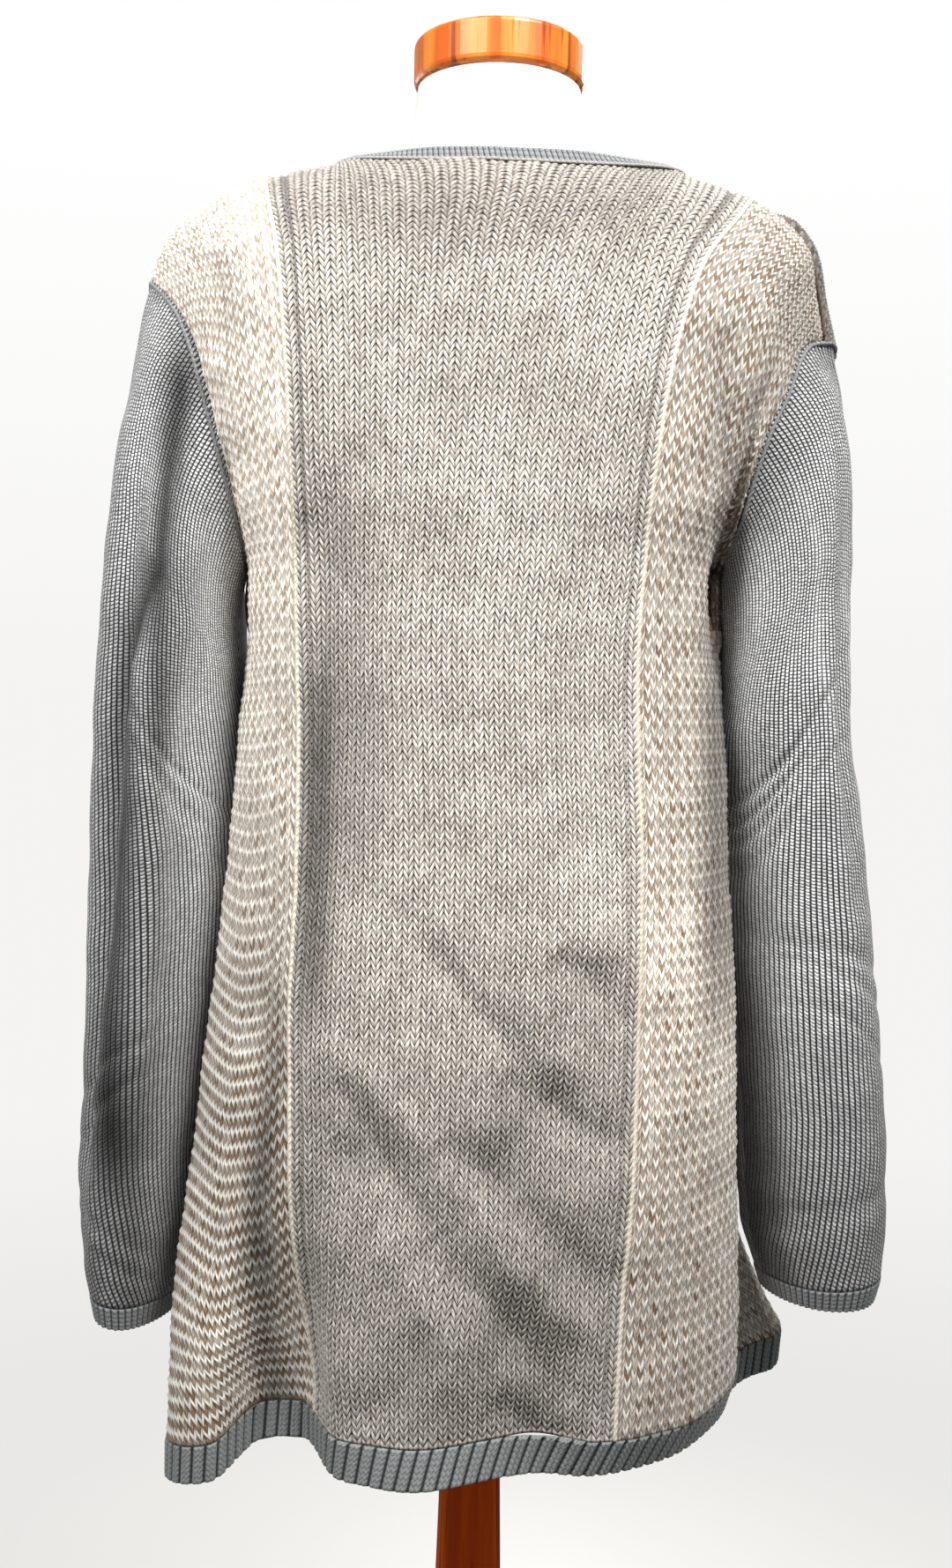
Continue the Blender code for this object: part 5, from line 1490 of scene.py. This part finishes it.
def wood_material(name, pale, mid, deep, rough, coat, stretch, top_stretch):
    """Varnished veneer. Its grain runs up the sides, and across the flat top."""
    net = Net(name, rough, Coat_Weight=coat, Coat_Roughness=0.08, Specular_IOR_Level=0.5 if coat else 0.12)
    geo = net.node("ShaderNodeNewGeometry")
    up = net.node("ShaderNodeSeparateXYZ", {0: geo.outputs["Normal"]}).outputs[2]
    flat = net.span(net.math("ABSOLUTE", up), 0.60, 0.85)
    side = net.place(stretch)
    top = net.place(top_stretch)
    where = net.node("ShaderNodeMix", data_type="VECTOR")
    net.put(where.inputs[0], flat)
    net.put(where.inputs[4], side)
    net.put(where.inputs[5], top)
    v = where.outputs[1]
    broad = net.noise(v, 1.0, 3.0, 0.55)
    fine = net.noise(v, 5.0, 4.0, 0.7)
    streak = net.span(net.noise(v, 2.6, 2.0, 0.5), 0.56, 0.66)
    body = net.mix(net.span(broad, 0.35, 0.65), pale, mid)
    body = net.mix(net.math("MULTIPLY", streak, 0.75), body, deep)
    body = net.mix(net.span(fine, 0.55, 0.75, 0.0, 0.45), body, deep)
    net.colour(body)
    net.normal(net.bump(fine, 0.12, 0.0003))
    return net.mat


# ------------------------------------------------------------------------ scene
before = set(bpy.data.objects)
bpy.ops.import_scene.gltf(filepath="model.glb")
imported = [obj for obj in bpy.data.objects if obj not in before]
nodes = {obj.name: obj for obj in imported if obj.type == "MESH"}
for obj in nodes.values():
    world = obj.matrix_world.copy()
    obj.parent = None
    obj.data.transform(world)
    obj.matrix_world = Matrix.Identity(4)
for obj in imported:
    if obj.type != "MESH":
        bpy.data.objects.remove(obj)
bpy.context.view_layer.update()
scene = bpy.context.scene

beige, blue = beige_material(), sleeve_material()
# one copy of the two-colour knit for each side panel: they differ in pattern, in how far the dark yarn fades at the
# top, partly painted highlight, and in the front right one's painted shade at its top
cream = {
    (1, 1): cream_material("knit_cream_left_yarn", 0.80, 1.12, 0.80, (0.90, 0.35)),
    (1, -1): cream_material("knit_cream_right_yarn", 0.80, 1.30, 0.92, (0.32, 0.55), small=(0.75, 0.95)),
    (-1, 1): cream_material("knit_cream_front_left_yarn", 0.80, 1.25, 0.60),
    (-1, -1): cream_material("knit_cream_front_right_yarn", 0.80, 1.50, 0.95, (0.60, 0.40), 0.34, (0.5, 0.9)),
}
rib, fine_rib = rib_material(), fine_rib_material()
piping_yarn = cord_material("piping_yarn", lin(214, 206, 192), lin(128, 114, 96))
seam_yarn = cord_material("seam_yarn_blue", lin(128, 129, 131), lin(34, 34, 36))
chain_yarn = cord_material("chain_yarn_pale", lin(142, 139, 136), lin(60, 58, 56))
dark_chain = cord_material("chain_yarn_dark", lin(84, 72, 60), lin(22, 18, 15))

# Cut of each sheet as it shows: width, length and area, in metres.
SHEETS = {}


def declare(obj, node, patch, held="hung", rests=("dress_form_torso",), extra=()):
    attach(obj, "root")
    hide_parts(node)
    SHEETS[node] = (obj, patch, held, list(rests), list(extra))


def lay(obj, slot):
    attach(obj, "root")
    return obj


patches = {}


def body_panel(face, kind, side=0):
    if kind == "centre":
        surf = lambda s, t: centre_panel(s, t, face)
        spine = 0.2
    else:
        surf = lambda s, t: side_panel(s, t, side, face)
        spine = 0.0
    t, length = even_rows(surf, spine, -1.0, 1.0, 300)
    p = surf(np.linspace(0, 1, 150)[None, :], t[:, None])
    return Patch(p, False, body_out, creased(face)), length


def side_droop(d, v):
    """The courses of the left panels sag beside the raised line."""
    return 0.017 * smooth(d / 0.024) * (1 - smooth((d - 0.030) / 0.075)) * smooth(v / 0.12) * smooth((0.56 - v) / 0.25)


for face, front in ((1, "back"), (-1, "front")):
    sub = 3 if face > 0 else 2
    node = front + "_panel"
    patch, length = body_panel(face, "centre")
    patches[node] = patch
    obj = body_stitches(
        node + "_knit", patch, centre_layout(), int(round(length / STITCH_BODY[1])), sub, 1.25,
        0.00125, WALL_BODY, beige, seed=1, painted_shade_and_tone=body_painted_shade_and_tone(face, "centre", 0),
    )
    declare(obj, node, patch)
    for side, word in ((1, "left"), (-1, "right")):
        node = f"{front}_side_{word}"
        patch, length = body_panel(face, "side", side)
        patches[node] = patch
        obj = body_stitches(
            node + "_knit", patch, side_layout(patch, STITCH_SIDE[0]),
            int(round(length / STITCH_SIDE[1])), 2, 1.15, 0.00085, WALL_BODY, cream[face, side],
            pitch=STITCH_SIDE[0], hand=side * face, seed=2, painted_shade_and_tone=body_painted_shade_and_tone(face, "side", side),
            droop=side_droop if side > 0 else None, ridge=0.00045,
        )
        # the raised line: a soft cord in the seam between centre and side
        p, n = patch.at(0.0, np.linspace(0.001, 0.999, 620))
        q, m = patches[front + "_panel"].at(0.0 if side < 0 else 1.0, np.linspace(0.001, 0.999, 620))
        cord = rope(f"piping_{front}_{word}", p, n + m, 0.00140, 0.8, 2, 0.0046, piping_yarn, lift=0.15)
        lay(cord, "knit_cream")
        declare(obj, node, patch, extra=[cord])

for side, word in ((1, "left"), (-1, "right")):
    surf = lambda a, v: sleeve(side, a, v)
    v_rows, length = even_rows(surf, 0.5, 0.0, 1.0, 260)
    a_cols = np.linspace(0, 1, 241)
    tab = SLEEVE_L if side > 0 else SLEEVE_R

    def sleeve_out(p, tab=tab, side=side, rows=v_rows):
        x = side * (along(tab, "out_x", rows, "v") + along(tab, "in_x", rows, "v")) / 2
        y = (along(tab, "back", rows, "v") + along(tab, "front", rows, "v")) / 2
        mid = np.stack([x, y, np.zeros_like(x)], -1)[:, None, :]
        return (p - mid) * np.array([1, 1, 0])

    def bands(tab_, rows, cols, side=side):
        """Each row of a table as its distance along the sleeve and round it."""
        deg = 180 * (1 - 2 * cols)[None, :]
        for i in range(len(tab_["side"])):
            if tab_["side"][i] == side:
                yield i, rows[:, None], deg

    def sleeve_fold(v):
        """Angle of the long trough down the left sleeve."""
        return np.interp(v, (0, 0.06, 0.12, 0.19, 0.26, 0.33, 0.47, 0.68, 0.79, 0.90),
                         (58, 77, 86, 90, 76, 66, 74, 75, 84, 100))

    def sleeve_shift(patch, rows=v_rows, cols=a_cols, bands=bands, side=side, fold=sleeve_fold):
        total = 0.8 * body_shift(patch)
        for i, v, deg in bands(RIPPLES, rows, cols):
            away = (deg - RIPPLES["angle"][i] + 180) % 360 - 180
            near = np.exp(-((away / RIPPLES["spread"][i]) ** 2))
            for k in range(int(RIPPLES["count"][i])):
                mid = RIPPLES["v"][i] + k * RIPPLES["step"][i] * (1 + 0.25 * math.sin(3 * k + i))
                mid = mid + RIPPLES["slope"][i] * np.sin(np.radians(away) * (1 + 0.3 * k))
                wide = 0.009 + 0.002 * math.sin(5 * k + i)
                total = total + RIPPLES["height"][i] * (1 - 0.2 * k) * near * np.exp(-(((v - mid) / wide) ** 2))
        if side > 0:
            away = 180 * (1 - 2 * cols)[None, :] - fold(rows)[:, None]
            soft = smooth(rows / 0.10)[:, None] * smooth((0.9 - rows) / 0.4)[:, None]
            total = total - 0.0058 * np.exp(-((away / 12) ** 2)) * soft + 0.0022 * np.exp(-(((away - 30) / 13) ** 2)) * soft
        # the inner side rests forward against the body below the arm
        deg = 180 * (1 - 2 * cols)[None, :]
        away = (deg + 150 + 180) % 360 - 180
        total = total + 0.0085 * np.exp(-((away / 30) ** 2)) * smooth(rows / 0.12)[:, None] * smooth((0.85 - rows) / 0.4)[:, None]
        # the cloth is held where it is sewn on and at the cuff
        return total * smooth(np.minimum(rows, 1 - rows) / 0.04)[:, None]

    p = surf(a_cols[None, :], v_rows[:, None])
    patch = Patch(p, True, sleeve_out, sleeve_shift)
    patches["sleeve_" + word] = patch
    rows, cols = 236, 190
    q, v = np.broadcast_arrays(np.linspace(0, 1, cols)[None, :], np.linspace(0, 1, rows)[:, None])
    p, n = patch.at(q, v)
    wide = patch.wide(v.ravel()).reshape(v.shape)
    u = (q - 0.5) * wide / STITCH_SLEEVE[0]
    uv = np.stack([u, (1 - v) * length / STITCH_SLEEVE[1]], -1)
    # the pressed ridges: raised a little here, and given a painted highlight in the material
    ridge_and_painted_highlight = np.zeros(v.shape)
    for i, vv, deg in bands(RIDGES_AND_HIGHLIGHTS, v[:, 0], q[0]):
        k = np.clip((vv - RIDGES_AND_HIGHLIGHTS["v0"][i]) / (RIDGES_AND_HIGHLIGHTS["v1"][i] - RIDGES_AND_HIGHLIGHTS["v0"][i]), 0, 1)
        mid = RIDGES_AND_HIGHLIGHTS["angle0"][i] * (1 - k) + RIDGES_AND_HIGHLIGHTS["angle1"][i] * k + 3 * np.sin(vv * 23 + i)
        away = (deg - mid + 180) % 360 - 180
        ridge_and_painted_highlight = np.maximum(ridge_and_painted_highlight, RIDGES_AND_HIGHLIGHTS["share"][i] * np.sin(k * math.pi) ** 0.5 * np.exp(-((away / RIDGES_AND_HIGHLIGHTS["width"][i]) ** 2)))
    # painted shade on the sleeves, with a little random tone: darker in the long troughs of the left sleeve, at the top
    # of the right one and towards the cuffs, lighter on the inner side near the body
    deg = 180 * (1 - 2 * q)
    if side > 0:
        wide_ = 23 - 8 * smooth((v - 0.05) / 0.09) + 8 * smooth((v - 0.25) / 0.2)
        painted_shade_and_tone = 1.05 - 0.26 * hump(deg, 113, 15) * smooth((v - 0.06) / 0.1) + 0.30 * hump(deg, 146, 20) * smooth((0.66 - v) / 0.3)
        painted_shade_and_tone = painted_shade_and_tone * (1 - 0.90 * hump(deg, sleeve_fold(v), wide_) * smooth((v + 0.03) / 0.06) * smooth((0.97 - v) / 0.15))
        second = np.interp(v, (0.16, 0.26, 0.34, 0.42), (92, 98, 105, 108))
        painted_shade_and_tone = painted_shade_and_tone * (1 - 0.62 * hump(deg, second, 10) * smooth((v - 0.17) / 0.06) * smooth((0.46 - v) / 0.10))
        painted_shade_and_tone = painted_shade_and_tone * (1 - 0.28 * smooth((v - 0.60) / 0.16)) * (1 - 0.30 * smooth((v - 0.88) / 0.08))
    else:
        painted_shade_and_tone = (1 + 0.12 * smooth(1 - np.abs(v - 0.42) / 0.35)) * (1 - 0.32 * smooth((0.10 - v) / 0.08))
        painted_shade_and_tone = painted_shade_and_tone * (1 + 0.45 * smooth((deg - 112) / 30) * smooth((0.42 - v) / 0.15))
        painted_shade_and_tone = painted_shade_and_tone * (1 - 0.16 * smooth((deg - 120) / 50)) * (1 - 0.55 * smooth((deg - 125) / 22) * smooth((v - 0.55) / 0.2))
        painted_shade_and_tone = painted_shade_and_tone * (1 - 0.24 * smooth((v - 0.66) / 0.18)) * (1 - 0.14 * smooth((v - 0.88) / 0.08))
    painted_shade_and_tone = painted_shade_and_tone + 0.05 * swell(p, 0.12, 31)
    ends = smooth(np.minimum(v, 1 - v) * length / 0.003)
    lift = 0.0006 * ridge_and_painted_highlight - 0.0004 * (1 - ends)
    obj = shell(
        f"sleeve_{word}_knit", patch, p + n * lift[..., None], uv, q, v, False, WALL_SLEEVE, 60, 40,
        (STITCH_SLEEVE[0], length / STITCH_SLEEVE[1]), blue, {"ridge_and_painted_highlight": ridge_and_painted_highlight, "painted_shade_and_tone": painted_shade_and_tone},
    )
    # the seam round the armhole
    p, n = patch.at(np.linspace(0, 1, 420)[:-1], 0.004)
    seam = rope(f"armhole_seam_{word}", p, n, 0.0011, 0.7, 2, 0.0042, seam_yarn, closed=True, lift=0.35)
    lay(seam, "knit_blue")
    declare(obj, "sleeve_" + word, patch, extra=[seam])

    drops = np.linspace(1, 0, 8)[:, None]
    p = sleeve(side, a_cols[None, :], 1.0, drops)
    cuff_patch = Patch(p, True, lambda p, c=p.mean((0, 1)): (p - c) * np.array([1, 1, 0]))
    patches["cuff_" + word] = cuff_patch
    obj = ribs(f"cuff_{word}_rib", cuff_patch, RIB_CUFF, 6, 12, 0.0006, WALL_RIB, fine_rib, single=True, courses=5)
    declare(obj, "cuff_" + word, cuff_patch, rests=("sleeve_" + word,))

for face, front in ((1, "back"), (-1, "front")):
    def hem_surf(s, t, face=face):
        s3 = np.asarray(s) * 3
        right = hem_point(-1, np.clip(1 - s3, 0, 1), t, face)
        mid = hem_point(0, np.clip(s3 - 1, 0, 1), t, face)
        left = hem_point(1, np.clip(s3 - 2, 0, 1), t, face)
        s3 = np.broadcast_to(s3, mid.shape[:-1])[..., None]
        return np.where(s3 < 1, right, np.where(s3 < 2, mid, left))

    p = hem_surf(np.linspace(0, 1, 400)[None, :], np.linspace(0, 1, 10)[:, None])
    hem_patch = Patch(p, False, body_out)
    patches["hem_band_" + front] = hem_patch
    obj = ribs(f"hem_band_{front}_rib", hem_patch, RIB_HEM, 12, 18, 0.0008, WALL_RIB, rib, courses=7)
    declare(obj, "hem_band_" + front, hem_patch, rests=("back_panel" if face > 0 else "front_panel",))

ends = centre_columns()[[2, -3]]
over = ends[0] + (ends[1] - ends[0]) * (1 - np.cos(np.linspace(0, math.pi, 160))) / 2
loop, below = neck_loop(over)
p = np.stack([neck_point(loop, below, k) for k in np.linspace(0, 1, 8)])
p = np.concatenate([p, p[:, :1]], 1)
neck_patch = Patch(p, True, body_out)
patches["neckband"] = neck_patch
obj = ribs("neckband_rib", neck_patch, RIB_NECK, 4, 10, 0.00045, WALL_RIB, fine_rib, single=True, open_edge=1, courses=3)
p, n = neck_patch.at(np.linspace(0, 1, 560)[:-1], 0.02)
chain = rope("neck_chain", p, n, 0.0010, 0.7, 2, 0.0034, chain_yarn, closed=True, lift=0.55)
lay(chain, "rib_blue")
declare(obj, "neckband", neck_patch, rests=("back_panel", "front_panel"), extra=[chain])

# the shoulder seams, a chain along the ridge outside the neck points
for side, word in ((1, "left"), (-1, "right")):
    u = np.linspace(0.01, 0.985, 150)
    p = shoulder(side, u)
    n = np.stack([0.35 * side * u, 0.25 + 0 * u, 1 + 0 * u], -1)
    seam = rope(f"shoulder_seam_{word}", p, n, 0.0017 if side < 0 else 0.0011, 0.7, 2, 0.0046, dark_chain if side < 0 else piping_yarn, lift=0.5)
    lay(seam, "knit_beige")

for node, (obj, patch, held, rests, extra) in SHEETS.items():
    area = patch.area()
    tall, wide = float(patch.height.max()), float(patch.width.max())
    print("CUT", node, round(wide, 4), round(tall, 4), round(area, 5), len(obj.data.polygons))

FORM_LOOKS = {
    "dress_form_torso": jersey_material(),
    "neck_cap": wood_material(
        "veneer_orange", lin(226, 134, 46), lin(200, 92, 22), lin(104, 40, 10), 0.36, 0.25,
        (60, 60, 2.5), (14, 60, 60),
    ),
    "pole": wood_material(
        "wood_red_brown", lin(234, 100, 16), lin(196, 70, 8), lin(114, 36, 4), 0.7, 0.0,
        (70, 70, 2.0), (70, 70, 2.0),
    ),
    "base_plate": wood_material(
        "wood_brown_plate", lin(176, 76, 26), lin(140, 52, 14), lin(84, 28, 8), 0.55, 0.15,
        (70, 70, 2.0), (10, 70, 70),
    ),
}
for node, mat in FORM_LOOKS.items():
    for slot_ in nodes[node].material_slots:
        slot_.material = mat

# --------------------------------------------------------------- floor and light
bpy.ops.mesh.primitive_circle_add(vertices=96, radius=14.0, fill_type="TRIFAN", location=(0, 0, 0))
floor = bpy.context.object
floor.name = "floor"
net = Net("floor_pale", 0.9)
seen_by = net.node("ShaderNodeLightPath").outputs["Is Camera Ray"]
pale = net.shade(lin(236, 236, 233), net.span(net.noise(net.place(), 3.0, 3.0), 0.3, 0.7, 0.985, 1.0))
net.colour(net.mix(seen_by, lin(128, 127, 126), pale))
way = net.node("ShaderNodeVectorMath", {0: net.place((1, 1, 0))}, operation="LENGTH").outputs["Value"]
glow = net.node("ShaderNodeEmission", {"Color": net.mix(net.span(way, 0.9, 3.4), lin(230, 229, 227), lin(244, 243, 241)), "Strength": 1.0})
share = net.math("MULTIPLY", net.span(way, 0.5, 1.6), seen_by)
blend = net.node("ShaderNodeMixShader", {0: share, 1: net.shader.outputs[0], 2: glow.outputs[0]})
net.tree.links.new(blend.outputs[0], net.tree.nodes["Material Output"].inputs["Surface"])
floor.data.materials.append(net.mat)

world = bpy.data.worlds.new("studio")
scene.world = world
world.use_nodes = True
tree = world.node_tree
tree.nodes.clear()
path = tree.nodes.new("ShaderNodeLightPath")
seen = tree.nodes.new("ShaderNodeBackground")
toward = tree.nodes.new("ShaderNodeTexCoord")
parts = tree.nodes.new("ShaderNodeSeparateXYZ")
rise = tree.nodes.new("ShaderNodeMapRange")
sky = tree.nodes.new("ShaderNodeMix")
sky.data_type = "RGBA"
rise.inputs[1].default_value, rise.inputs[2].default_value = 0.0, 0.30
sky.inputs[6].default_value, sky.inputs[7].default_value = lin(244, 243, 241), lin(255, 255, 255)
tree.links.new(toward.outputs["Generated"], parts.inputs[0])
tree.links.new(parts.outputs[2], rise.inputs[0])
tree.links.new(rise.outputs[0], sky.inputs[0])
tree.links.new(sky.outputs[2], seen.inputs[0])
seen.inputs[1].default_value = 1.0
light = tree.nodes.new("ShaderNodeBackground")
light.inputs[0].default_value = (1.0, 1.0, 1.0, 1)
light.inputs[1].default_value = 0.24
mixed = tree.nodes.new("ShaderNodeMixShader")
out = tree.nodes.new("ShaderNodeOutputWorld")
tree.links.new(path.outputs["Is Camera Ray"], mixed.inputs[0])
tree.links.new(light.outputs[0], mixed.inputs[1])
tree.links.new(seen.outputs[0], mixed.inputs[2])
tree.links.new(mixed.outputs[0], out.inputs[0])


def lamp(name, place, aim, size_, power, tint=(1, 1, 1)):
    data = bpy.data.lights.new(name, "AREA")
    data.shape, data.size, data.energy, data.color = "DISK", size_, power, tint
    obj = bpy.data.objects.new(name, data)
    obj.location = place
    obj.rotation_euler = (Vector(aim) - Vector(place)).to_track_quat("-Z", "Y").to_euler()
    obj.visible_camera = False
    scene.collection.objects.link(obj)


lamp("key", (-0.55, 0.86, 2.38), (0.0, 0, 1.22), 0.55, 40, (1.0, 0.98, 0.95))
lamp("top", (0.80, 1.00, 2.30), (0.0, 0, 1.22), 0.55, 31, (1.0, 0.985, 0.96))
lamp("front", (-0.7, -2.0, 2.3), (0, 0, 1.05), 1.2, 44, (1, 0.99, 0.97))
lamp("front_fill", (1.9, -1.7, 1.3), (0, 0, 1.0), 1.2, 14, (0.98, 0.99, 1.0))

cam_data = bpy.data.cameras.new("camera")
cam_data.sensor_width = 36.0
cam_data.lens = 1900.0 * 36.0 / 1779.0
cam_data.clip_start, cam_data.clip_end = 0.05, 60
cam = bpy.data.objects.new("camera", cam_data)
scene.collection.objects.link(cam)
scene.camera = cam
pitch, turn = math.radians(3.0), math.radians(1.206)
ahead = Vector((0, -math.cos(pitch), -math.sin(pitch)))
right0, up0 = Vector((-1, 0, 0)), Vector((0, -math.sin(pitch), math.cos(pitch)))
right = right0 * math.cos(turn) + up0 * math.sin(turn)
up = up0 * math.cos(turn) - right0 * math.sin(turn)
cam.matrix_world = Matrix((
    (right.x, up.x, -ahead.x, 0.0055),
    (right.y, up.y, -ahead.y, 1.08),
    (right.z, up.z, -ahead.z, 1.08),
    (0, 0, 0, 1),
))

scene.view_settings.view_transform = "Standard"
scene.view_settings.look = "None"

bpy.context.view_layer.update()
